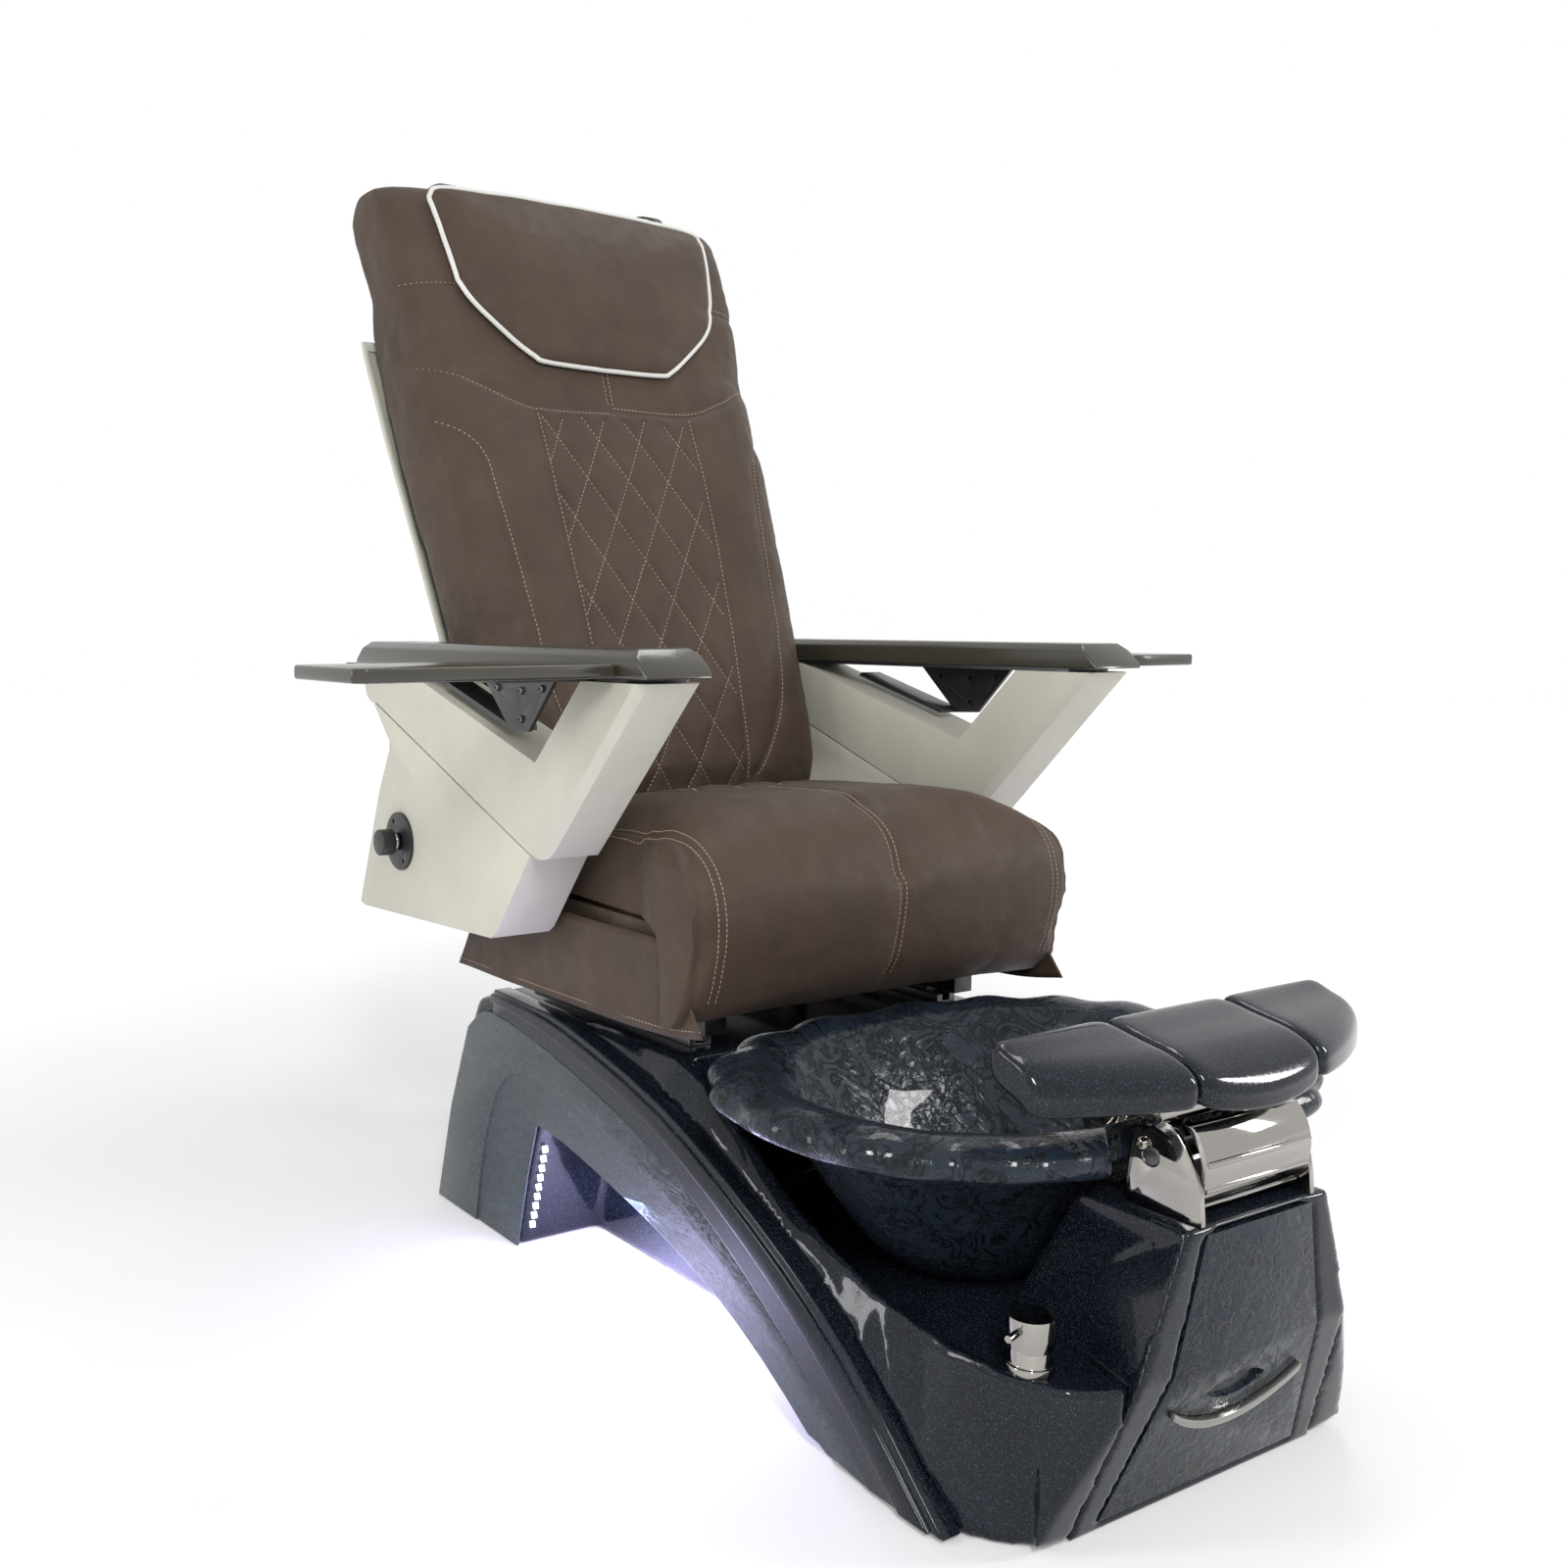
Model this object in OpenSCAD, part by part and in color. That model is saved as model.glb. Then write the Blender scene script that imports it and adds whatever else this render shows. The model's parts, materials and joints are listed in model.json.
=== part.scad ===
// Pedicure spa chair: a reclining massage chair with lifting V-shaped arms,
// carried on a moulded fibreglass base with a foot basin and a tilting footrest.
// The sitter faces -Y, +X is the sitter's left hand, and +Z is up. The origin
// lies on the floor, under the middle of the chair.

/* [Base] */
// Half the width of the base over its side walls
base_half_w = 284; // [270:1:300]
// Height of the deck round the basin
deck_z = 165; // [150:1:175]
// Height of the platform under the seat
platform_z = 345; // [340:1:350]
// Half the width of the spine between the two lit arches
spine_half_w = 150; // [120:5:170]
// Half the width of the flat deck inside its edges
deck_half_w = 250; // [240:1:256]

/* [Basin] */
// Half the width of the basin over its rim
basin_half_w = 352; // [335:1:360]
// Half the length of the basin over its rim
basin_half_l = 262; // [250:1:268]
// Height of the top of the rim
basin_rim_z = 376; // [370:1:378]
// Number of scallops round the rim
scallops = 18; // [12:1:24]

/* [Footrest] */
// Half the width over the three pads
pads_half_w = 246; // [236:1:256]
// Half the width of the middle pad
middle_pad_half_w = 88; // [70:1:100]
// Radius of the chrome drum cover
drum_r = 58; // [50:1:60]

/* [Seat] */
// Half the width of the seat cushion
seat_half_w = 288; // [270:1:289]
// Height of the seat's sides
seat_side_z = 606; // [590:1:620]
// Rise of the crown in the middle of the seat
seat_crown = 34; // [20:1:45]

/* [Back] */
// Half the width of the backrest at the shoulders
shoulder_half_w = 322; // [300:1:330]
// Half the width of the backrest between the arms
waist_half_w = 286; // [280:1:290]
// Rise of the side bolsters over the quilted panel
bolster_rise = 14; // [6:1:20]

/* [Arms] */
// Distance from the middle to the arm's inner face
arm_inner_x = 302; // [300:1:304]
// Distance from the middle to the arm's outer face
arm_outer_x = 387; // [380:1:395]
// Height of the underside of the arm cap
cap_z = 794; // [790:1:800]
// Thickness of the arm cap
cap_t = 32; // [26:1:36]
// Length of the manicure tray
tray_l = 300; // [280:5:310]
// Width of the manicure tray
tray_w = 170; // [150:2:174]

/* [Hidden] */

// Colours of the materials
navy = [0.07, 0.09, 0.13];
textured_green = [0.25, 0.29, 0.30];
crackle_blue = [0.13, 0.17, 0.23];
cream = [0.78, 0.77, 0.72];
olive = [0.30, 0.29, 0.25];
brown = [0.33, 0.27, 0.23];
chrome = [0.80, 0.80, 0.82];
black = [0.06, 0.06, 0.07];
steel = [0.45, 0.46, 0.48];

// The side face of the base, as [y, z] points along its lines
base_rear_top = [342, 343];
base_rear_mid = [427, 162];
base_rear_foot = [472, 0];
trim_top = [[276, 352], [190, 350], [88, 344], [-122, 295], [-299, 218], [-441, 132],
    [-578, 4]];
trim_low = [[281, 316], [227, 312], [86, 287], [-92, 239], [-247, 166], [-383, 74],
    [-472, 4]];
panel_edge = [[362, 279], [311, 312], [227, 310], [86, 285], [-92, 237], [-247, 164],
    [-383, 72], [-480, 0]];
step_edge = [[340, 0], [312, 127], [269, 215], [216, 246], [153, 251], [-10, 221],
    [-190, 160], [-330, 82], [-436, 0]];
arch_edge = [[230, -5], [184, 160], [152, 186], [-8, 160], [-175, 117], [-298, 63],
    [-404, -5]];

// Widths and heights of the base along y, each as [y, value]
floor_half_w = [[-640, 110], [-632, 190], [-618, 228], [-591, 258], [-545, 277],
    [-470, base_half_w], [430, base_half_w], [460, base_half_w - 12], [472, base_half_w - 30]];
edge_half_w = [[-686, 60], [-680, 140], [-668, 180], [-640, 216], [-600, 238], [-540, 248],
    [-480, deck_half_w], [472, deck_half_w]];
edge_z = [[-690, 163], [-578, 165], [-516, 170], [-431, 183], [-325, 223], [-214, 288],
    [-150, 326], [-100, platform_z], [290, platform_z], [342, 330], [427, 162], [472, 3]];
shoulder_z = [[-640, 4], [-600, 12], [-562, 29], [-441, 126], [-299, 212], [-122, 289],
    [0, 318], [88, 335], [200, 340], [290, 338], [342, 322], [427, 158], [472, 2]];

// The basin's middle, and the front limit of its rim beside the footrest
basin_y = -383;
basin_front_limit = -592;
basin_floor_z = 190;

// The pedestal, as half widths and y at the floor, the deck and the top
pedestal_front = [[186, -632, 0], [158, -682, 165], [107, -688, 301]];
pedestal_rear = [[150, -500, 0], [92, -478, 165], [107, -562, 301]];
door_half = [[149, 10], [109, 163], [79, 294]];
door_t = 8;
door_gap = 2.2;
door_hinge = [-683.5, 290];
door_pin_r = 2;

// The footrest's shaft, and the mid line of its pads
shaft_y = -628;
shaft_z = 352;
shaft_r = 9;
cheek_in = 80;
cheek_out = 86;
bar_y = -646;
bar_z = 404;
bar_r = 12;

// The tap, the drain knob and the stub
tap_pos = [-207, -597, deck_z];
drain_pos = [150, -640, 206];

// The seat
seat_front_y = -206;
seat_rear_y = 228;
cushion_bottom_z = 500;
pan_z = 482;
slot_gap = 0.4;

// The arm's outline as [y, z], and its pivots
seam_rear = [452, 744];
seam_front = [20, 581];
v_bottom = [4, 690];
v_rear = [330, 784];
leg_front_top = [-214, 789];
leg_front_low = [-26, 588];
leg_back_top = [-95, 789];
arm_pivot = [452, 766];
boss_r = 26;
pin_r = 8;
fit = 0.05;
arm_top_z = 789;
release_pos = [367, 553];
release_r = 40;
knob_travel = 8;

// The tray's pivot, and its far corner's radius that clears the cap
tray_pivot = [478, -90];
tray_z = 796;
tray_t = 15;
tray_corner = 80;

// The backrest, as [z, value] along its height
back_pivot = [276, 556];
back_front_y = [[590, 232], [700, 262], [835, 300], [960, 345], [1080, 392], [1173, 436],
    [1235, 458], [1300, 478], [1380, 508], [1440, 532], [1490, 560], [1508, 588]];
back_rear_y = [[590, 352], [700, 402], [818, 456], [960, 522], [1118, 594], [1248, 644],
    [1276, 650], [1300, 634], [1326, 632], [1375, 661], [1447, 694], [1490, 686],
    [1508, 662]];
back_half_w = [[590, 270], [620, waist_half_w], [840, waist_half_w], [940, 292], [1080, 302],
    [1200, 312], [1339, shoulder_half_w], [1460, shoulder_half_w - 2], [1500, 314],
    [1508, 290]];
lean = 20;

// ---- Helpers ----

// Point on a smooth curve through b and c, t of the way from b to c
function between(a, b, c, d, t) =
    0.5 * (2 * b + (c - a) * t + (2 * a - 5 * b + 4 * c - d) * t * t
        + (3 * b - a - 3 * c + d) * t * t * t);

// Smooth curve through points, with steps on each stretch
function smooth(p, steps = 5) = let (n = len(p)) concat(
    [for (i = [0 : n - 2], k = [0 : steps - 1])
        between(p[max(i - 1, 0)], p[i], p[i + 1], p[min(i + 2, n - 1)], k / steps)],
    [p[n - 1]]);

function backwards(p) = [for (i = [len(p) - 1 : -1 : 0]) p[i]];

// A number's power that keeps its sign
function signed_pow(v, e) = sign(v) * pow(abs(v), e);

// Solid through rings of points. Each ring runs anticlockwise, seen from the last ring.
module loft(rings) {
    n = len(rings[0]);
    last = len(rings) - 1;
    sides = [for (i = [0 : last - 1], j = [0 : n - 1]) let (k = (j + 1) % n)
        each [[i * n + j, (i + 1) * n + j, (i + 1) * n + k],
            [i * n + j, (i + 1) * n + k, i * n + k]]];
    caps = [[for (j = [0 : n - 1]) j], [for (j = [n - 1 : -1 : 0]) last * n + j]];
    polyhedron([for (r = rings) each r], concat(sides, caps), convexity = 6);
}

// Profile of [y, z] points as a slab from x0 to x1
module slab(profile, x0, x1) {
    translate([x0, 0, 0])
        rotate([90, 0, 90])
            linear_extrude(x1 - x0)
                polygon(profile);
}

// Round bar along X
module x_bar(r, x0, x1, y, z) {
    translate([x0, y, z])
        rotate([0, 90, 0])
            cylinder(r = r, h = x1 - x0, $fn = 48);
}

// The same thing on the sitter's right, as the mirror of the left
module on_side(side) {
    if (side > 0) children();
    else mirror([1, 0, 0]) children();
}

// Rectangle from its lowest to its highest corner
module box(low, high) {
    translate(low) cube(high - low);
}

// ---- Base ----

function hull_ring(y) = let (
    wf = lookup(y, floor_half_w), zs = lookup(y, shoulder_z),
    wd = lookup(y, edge_half_w), zd = lookup(y, edge_z),
    ws = max(wf - 2, wd))
    [[-wf, y, 0], [-ws, y, zs], [-wd, y, zd], [wd, y, zd], [ws, y, zs], [wf, y, 0]];

// Front nose of the base leans out from the floor to the deck's edge
nose_y = [-632, -620, -600, -575, -540, -500, -441, -380, -325, -270, -214, -150, -100, 0,
    88, 200, 290, 342, 385, 427, 455, 472];

module base_body() {
    loft([for (y = nose_y) hull_ring(y)]);
    loft([for (k = [0 : 3]) let (
        y = -632 - 13 * k, lift = 42 * k)
        [[-lookup(y, edge_half_w) - 20 + 6 * k, y, lift], [-lookup(y, edge_half_w), y, 163],
        [lookup(y, edge_half_w), y, 163], [lookup(y, edge_half_w) + 20 - 6 * k, y, lift]]]);
}

module deck_pocket() {
    side = [for (y = [-660, -640, -600, -540, -480, -300, -108])
        [lookup(y, edge_half_w) - 6, y]];
    translate([0, 0, deck_z - 6])
        linear_extrude(260)
            polygon(concat(side, [for (p = backwards(side)) [-p[0], p[1]]]));
}

module arch_recess() {
    slab(smooth(arch_edge, 4), spine_half_w, 330);
}

module base_shell() {
    color(navy)
        difference() {
            base_body();
            deck_pocket();
            arch_recess();
            mirror([1, 0, 0]) arch_recess();
            pedestal_block();
            translate([0, -24, 0]) pedestal_block();
            for (side = [1, -1])
                on_side(side) {
                    panel_seat();
                    trim_channel();
                }
        }
}

panel_x = base_half_w - 4;
panel_t = 7;

module panel_outline() {
    polygon(concat([[base_rear_foot[0] - 14, 0], [base_rear_mid[0] - 12, 150]],
        smooth(panel_edge, 3), [for (p = backwards(smooth(arch_edge, 3)))
        if (p[1] > 0) p], [[228, 0]]));
}

module panel_seat() {
    translate([panel_x - 0.3, 0, 0])
        rotate([90, 0, 90])
            linear_extrude(40)
                offset(delta = 0.4)
                    panel_outline();
}

// Textured side panel, with a lower field inside its step
module side_panel(side) {
    color(textured_green)
        on_side(side)
            difference() {
                translate([panel_x, 0, 0])
                    rotate([90, 0, 90])
                        linear_extrude(panel_t)
                            panel_outline();
                slab(concat(smooth(step_edge, 3), [[-436, -5], [340, -5]]),
                    panel_x + panel_t - 3, panel_x + panel_t + 10);
            }
}
module side_panel_left() { side_panel(1); }
module side_panel_right() { side_panel(-1); }

// Glossy band over the arch, with a ridge along its middle
function band(inset) = let (
    top = smooth(trim_top, 3),
    low = smooth(trim_low, 3))
    [for (i = [0 : len(top) - 1]) top[i] + inset * (low[i] - top[i])];

module arch_band(x0, x1, a, b) {
    slab(concat(band(a), backwards(band(b))), x0, x1);
}

// Shallow channel in the base's side that the band sits in
trim_in = 266;
module trim_channel() {
    arch_band(trim_in - 0.4, 330, 0, 0.985);
}

module arch_trim(side) {
    color(navy)
        on_side(side) {
            arch_band(trim_in, base_half_w + 8, 0.015, 0.96);
            arch_band(base_half_w, base_half_w + 13, 0.16, 0.52);
        }
}
module arch_trim_left() { arch_trim(1); }
module arch_trim_right() { arch_trim(-1); }

// Light strips on the rear wall of each arch
module led_strips() {
    color("white")
        for (side = [1, -1])
            on_side(side)
                for (k = [0 : 8])
                    translate([spine_half_w + 112, 213 - 4.2 * k, 28 + 14.5 * k])
                        rotate([-16, 0, 0])
                            cube([8, 3, 9]);
}

// ---- Basin ----

basin_n = 72;

// The rim is pressed in where the footrest's arms pass its front
function press_line(x) = basin_front_limit - 60 * min(1, max(0, (abs(x) - 112) / 46));
function pressed(x, y) = let (line = press_line(x)) y < line ? line + 0.15 * (y - line) : y;

function basin_ring(a, b, z, wave = 0) = [for (i = [0 : basin_n - 1]) let (
    t = 360 * i / basin_n,
    ripple = wave * cos(scallops * t),
    x = (a + ripple) * signed_pow(cos(t), 0.86),
    y = basin_y + (b + ripple) * signed_pow(sin(t), 0.86))
    [x, pressed(x, y), z + 0.4 * ripple]];

module basin() {
    w = basin_half_w;
    l = basin_half_l;
    color(crackle_blue)
        difference() {
            loft([
                basin_ring(130, 78, deck_z - 5.5),
                basin_ring(176, 102, deck_z + 20),
                basin_ring(222, 132, deck_z + 75),
                basin_ring(262, 158, deck_z + 130),
                basin_ring(292, 190, deck_z + 168),
                basin_ring(w - 22, l - 26, basin_rim_z - 34, 2),
                basin_ring(w - 5, l - 6, basin_rim_z - 36, 5),
                basin_ring(w, l, basin_rim_z - 24, 6),
                basin_ring(w - 8, l - 8, basin_rim_z - 9, 5),
                basin_ring(w - 30, l - 28, basin_rim_z, 3),
                basin_ring(w - 56, l - 48, basin_rim_z - 3, 2),
                basin_ring(w - 72, l - 66, basin_rim_z - 16),
                basin_ring(w - 100, l - 114, deck_z + 130),
                basin_ring(210, 120, deck_z + 80),
                basin_ring(165, 90, basin_floor_z + 12),
                basin_ring(120, 66, basin_floor_z)]);
            translate([0, basin_y, deck_z - 20])
                cylinder(r = 26, h = 80, $fn = 12);
        }
}

module basin_drain() {
    color(chrome)
        translate([0, basin_y, 0])
            difference() {
                union() {
                    translate([0, 0, deck_z]) cylinder(r = 23.9, h = 27, $fn = 48);
                    translate([0, 0, basin_floor_z + 0.1]) cylinder(r = 34, h = 3, $fn = 48);
                }
                translate([0, 0, basin_floor_z - 6])
                    for (a = [0 : 60 : 300])
                        rotate(a) translate([13, 0, 0]) cylinder(r = 4, h = 20, $fn = 24);
            }
}

// Round jet covers on the basin's inner walls
module basin_jets() {
    color(chrome)
        for (p = [[-196, -348, -62], [208, -348, 62]])
            translate([p[0], p[1], 262])
                rotate([0, p[2] < 0 ? 62 : -62, 0]) {
                    cylinder(r = 30, h = 10, $fn = 48);
                    cylinder(r = 18, h = 16, $fn = 48);
                }
}

// ---- Pedestal, door and controls ----

function pedestal_ring(k) = [[pedestal_rear[k][0], pedestal_rear[k][1], pedestal_rear[k][2]],
    [-pedestal_rear[k][0], pedestal_rear[k][1], pedestal_rear[k][2]],
    [-pedestal_front[k][0], pedestal_front[k][1], pedestal_front[k][2]],
    [pedestal_front[k][0], pedestal_front[k][1], pedestal_front[k][2]]];

module pedestal_block() {
    loft([for (k = [0 : 2]) pedestal_ring(k)]);
}

// The door's leaf, as a slab along the pedestal's two front planes
function door_ring(k, grow, depth) = let (
    z = door_half[k][1],
    y = lookup(z, [[0, -632], [165, -682], [301, -688]]),
    w = door_half[k][0] + grow)
    [[w, y + depth, z + (k == 0 ? -grow : 0) + (k == 2 ? grow : 0)],
        [-w, y + depth, z + (k == 0 ? -grow : 0) + (k == 2 ? grow : 0)],
        [-w, y, z + (k == 0 ? -grow : 0) + (k == 2 ? grow : 0)],
        [w, y, z + (k == 0 ? -grow : 0) + (k == 2 ? grow : 0)]];

module door_leaf(grow, depth) {
    translate([0, 0, 0])
        loft([for (k = [0 : 2]) door_ring(k, grow, depth)]);
}

module pedestal() {
    color(navy)
        difference() {
            pedestal_block();
            translate([0, -2, 0]) door_leaf(door_gap, door_t + 5);
            box([-66, -700, 30], [66, -590, 262]);
            box([-400, -800, -10], [400, 0, 0]);
            x_bar(7 + fit, 90, 190, drain_pos[1], drain_pos[2]);
            x_bar(3, 100, 190, -640, 262);
        }
    color(navy)
        for (side = [1, -1])
            on_side(side) x_bar(door_pin_r, 70, 86, door_hinge[0], door_hinge[1]);
}

// Places a shape on the door's lower plane at height z, with its Z pointing out
module on_door(z, lift) {
    translate([0, -632 - 50 * z / 165, z])
        rotate([106.9, 0, 0])
            translate([0, 0, lift])
                children();
}

module pull_outline(grow) {
    offset(delta = grow)
        difference() {
            intersection() {
                translate([0, 148]) circle(r = 160, $fn = 128);
                translate([-97, -30]) square([194, 60]);
            }
            translate([0, 168]) circle(r = 170, $fn = 128);
        }
}

module access_door() {
    color(textured_green)
        difference() {
            door_leaf(0, door_t);
            on_door(118, -4.5)
                linear_extrude(30)
                    intersection() {
                        translate([0, -60]) circle(r = 80, $fn = 96);
                        translate([0, 72]) circle(r = 80, $fn = 96);
                    }
            on_door(95, -2)
                linear_extrude(30)
                    pull_outline(0.3);
            x_bar(door_pin_r + fit, 69, 90, door_hinge[0], door_hinge[1]);
            x_bar(door_pin_r + fit, -90, -69, door_hinge[0], door_hinge[1]);
        }
}

// Crescent pull under the almond-shaped recess
module door_handle() {
    color(chrome)
        on_door(95, -1.8)
            linear_extrude(9)
                pull_outline(0);
}

module tap_base() {
    color(chrome)
        translate(tap_pos + [0, 0, -6])
            difference() {
                union() {
                    cylinder(r = 23, h = 9, $fn = 64);
                    cylinder(r = 20, h = 24, $fn = 64);
                }
                translate([0, 0, -1]) cylinder(r = 6 + fit, h = 40, $fn = 48);
            }
}

module tap_knob() {
    color(chrome)
        translate(tap_pos + [0, 0, -5]) {
            cylinder(r = 6, h = 24, $fn = 48);
            translate([0, 0, 23.4]) cylinder(r = 22, h = 30, $fn = 64);
            translate([0, 0, 44])
                rotate([0, -90, 15])
                    cylinder(r = 3.5, h = 44, $fn = 32);
        }
}

module drain_knob() {
    color(black) {
        x_bar(7, 100, 160, drain_pos[1], drain_pos[2]);
        x_bar(21, 156, 172, drain_pos[1], drain_pos[2]);
    }
}

module side_stub() {
    color(black)
        x_bar(2.95, 101, 168, -640, 262);
}

// ---- Footrest ----

module cheek(x0, x1) {
    slab(concat([[-602, 301.2], [-602, 330]],
        smooth([[-605, 352], [-609, 374], [-619, 389], [-634, 393]], 3),
        smooth([[-649, 388], [-664, 372], [-681, 338], [-686, 301.2]], 3)), x0, x1);
}

module footrest_cheeks() {
    color(chrome)
        difference() {
            for (side = [1, -1])
                on_side(side) cheek(cheek_in, cheek_out);
            x_bar(shaft_r + fit, -100, 100, shaft_y, shaft_z);
        }
}

// Ribbed cover round the front of the shaft
module footrest_drum() {
    color(chrome)
        difference() {
            union() {
                x_bar(drum_r - 2, -79.5, 79.5, shaft_y, shaft_z - 2);
                for (a = [-8, 18, 42])
                    translate([0, shaft_y, shaft_z - 2])
                        rotate([a, 0, 0])
                            translate([0, -drum_r + 3.2, 0])
                                x_bar(3.5, -77, 77, 0, 0);
            }
            x_bar(drum_r - 8, -90, 90, shaft_y, shaft_z - 2);
            box([-100, shaft_y + 6, 250], [100, -500, 460]);
            box([-100, -720, 240], [100, -500, 301.2]);
            box([-100, -680, 390], [100, -500, 460]);
        }
}

module footrest_shaft() {
    color(steel)
        x_bar(shaft_r, -cheek_out, cheek_out, shaft_y, shaft_z);
}

// Two arms from the shaft to the pads, with the roller bar and the pads' carrier across them
module footrest_arms() {
    color(chrome)
        difference() {
            union() {
                for (side = [1, -1])
                    on_side(side)
                        slab(concat([[-616, 336], [-640, 336], [-646, 352], [-640, 380],
                            [-657, 400]],
                            [for (y = [-652 : 10.5 : -578]) [y, pad_under(66, y) - 0.5]],
                            [[-578, 424], [-600, 407], [-612, 392], [-610, 352]]), 62, 70);
                x_bar(bar_r, -109, 109, bar_y, bar_z);
                slab([[-615, 419], [-615, 423.2], [-596, 428.2], [-596, 424]], -200, 200);
            }
            x_bar(shaft_r + fit, -100, 100, shaft_y, shaft_z);
        }
}

// Cross-section of the pads at x: a kidney that droops to the front. The three pads
// follow one crescent, so the outer ends lie further back than the middle.
pads_n = 24;
pad_round = 0.62;
function pad_y(x) = -631 + 33 * pow(abs(x) / pads_half_w, 2);
function pad_depth(x) = 65 - 37 * pow(abs(x) / pads_half_w, 2);
function pad_droop(x, u) = u < 0 ? (15 + 12 * max(0, 1 - pow(x / 88, 2))) * pow(u, 2) : 0;
function pad_under(x, y) = let (
    u = (y - pad_y(x)) / pad_depth(x),
    v = pow(max(0, 1 - pow(abs(u), 2 / pad_round)), pad_round / 2))
    450 - 24 * v + 9 * u - pad_droop(x, u);
function pad_ring(x, size) = [for (i = [0 : pads_n - 1]) let (
    t = 360 * i / pads_n,
    u = size * signed_pow(cos(t), pad_round),
    v = size * signed_pow(sin(t), pad_round),
    dish = v > 0 ? 7 * (1 - u * u) : 0)
    [x, pad_y(x) + pad_depth(x) * u, 450 + 24 * v + 9 * u - dish - pad_droop(x, u)]];

module pad(x0, x1) {
    loft([for (s = [[0, 0.84], [0.04, 0.94], [0.12, 0.99], [0.3, 1], [0.5, 1], [0.7, 1],
        [0.88, 0.99], [0.96, 0.94], [1, 0.84]])
        pad_ring(x0 + s[0] * (x1 - x0), s[1])]);
}

module footrest_pad_left() { color(navy) pad(91, pads_half_w); }
module footrest_pad_right() { color(navy) pad(-pads_half_w, -91); }
module footrest_pad_middle() { color(navy) pad(-middle_pad_half_w, middle_pad_half_w); }

// ---- Seat ----

rail_x = 205;

module slide_rails() {
    color(steel)
        for (side = [1, -1])
            on_side(side)
                difference() {
                    box([rail_x - 16, -80, platform_z], [rail_x + 16, 286, platform_z + 12]);
                    box([rail_x - 6.4, -90, platform_z + 3], [rail_x + 6.4, 300, platform_z + 20]);
                }
}

module slide_shoes() {
    color(black)
        for (side = [1, -1], y = [-60, 60])
            on_side(side) {
                box([rail_x - 6, y, platform_z + 3.4], [rail_x + 6, y + 90, platform_z + 16]);
                box([rail_x - 16, y, platform_z + 12.4], [rail_x + 16, y + 90, platform_z + 20]);
            }
}

frame_low = platform_z + 20;

module seat_frame() {
    color(steel) {
        for (side = [1, -1])
            on_side(side) {
                box([rail_x - 16, -110, frame_low], [rail_x + 16, 270, frame_low + 22]);
                box([291, 330, 470], [297, 400, 640]);
                difference() {
                    slab([[330, 600], [400, 600], [478, 752], [474, 784], [440, 790],
                        [420, 762]], 291, 297);
                    x_bar(pin_r + fit, 280, 300, arm_pivot[0], arm_pivot[1]);
                }
                box([rail_x - 16, 240, frame_low], [rail_x + 10, 270, 470]);
                box([rail_x - 16, 240, 470], [297, 345, 482]);
                difference() {
                    union() {
                        box([rail_x - 16, 263, 482], [rail_x - 4, 289, back_pivot[1]]);
                        x_bar(13, rail_x - 16, rail_x - 4, back_pivot[0], back_pivot[1]);
                    }
                    x_bar(10 + fit, 180, 210, back_pivot[0], back_pivot[1]);
                }
                box([22, 200, frame_low + 22], [rail_x, 226, pan_z]);
            }
        box([-rail_x, -110, frame_low + 22], [rail_x, -80, pan_z]);
    }
}

module seat_pan() {
    color([0.55, 0.42, 0.28])
        box([-268, -98, pan_z + 0.2], [268, 214, cushion_bottom_z - slot_gap]);
}

// Side view of the seat: its top, its waterfall front and the underside behind it
function seat_profile(k) = let (
    front = seat_front_y + 10 * (1 - k), top = seat_side_z + seat_crown * k)
    concat(smooth([[seat_rear_y, top - 34], [seat_rear_y - 90, top - 12], [10, top - 4],
        [front + 92, top], [front + 34, top - 16], [front + 4, top - 56], [front, top - 110],
        [front + 8, 470], [front + 26, 420], [front + 50, 398]], 2),
        [[front + 74, 400], [front + 78, 470], [front + 80, cushion_bottom_z],
        [60, cushion_bottom_z], [seat_rear_y, cushion_bottom_z]]);

module seat_cushion() {
    xs = [-1, -0.985, -0.95, -0.88, -0.74, -0.5, -0.25, -0.03, 0, 0.03, 0.25, 0.5, 0.74, 0.88,
        0.95, 0.985, 1];
    color(brown)
        loft([for (s = xs) let (
            k = 1 - pow(abs(s), 4) - (s == 0 ? 0.07 : 0))
            [for (p = backwards(seat_profile(k))) [s * seat_half_w, p[0], p[1]]]]);
}

// Leatherette skirt round the seat's frame, with hanging front corners
module seat_skirt() {
    color(brown)
        for (side = [1, -1])
            on_side(side)
                slab([[-200, 392], [-170, 381], [60, 374], [378, 369], [326, 440], [326, 462],
                    [236, 464], [228, 484], [120, 488], [-124, 492], [-124, 402]], 289, 292);
}

// ---- Arms ----

// Cuts that bevel the edges of the front leg's face
module arm_bevel() {
    for (x = [arm_inner_x, arm_outer_x])
        translate([x, -76, 641])
            rotate([43, 0, 0])
                rotate([0, 0, 45])
                    cube([14, 14, 700], center = true);
}

module arm_shell(side) {
    color(cream)
        on_side(side)
            difference() {
                slab(concat([[seam_rear[0] + 2, seam_rear[1] - 2], [400, 688], [402, 676],
                    [436, 616]], [[504, 448], [490, 444], [112, 462], [100, 470]],
                    [[seam_front[0] - 4, seam_front[1] - 3]]), arm_inner_x, arm_outer_x);
                x_bar(boss_r + 0.6, 290, 395, arm_pivot[0], arm_pivot[1]);
                slab([[250, 380], [250, 505], [300, 590], [384, 640], [430, 380]], 290,
                    arm_outer_x - 22);
                x_bar(12 + fit, 360, 400, release_pos[0], release_pos[1]);
            }
}
module arm_shell_left() { arm_shell(1); }
module arm_shell_right() { arm_shell(-1); }

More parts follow.
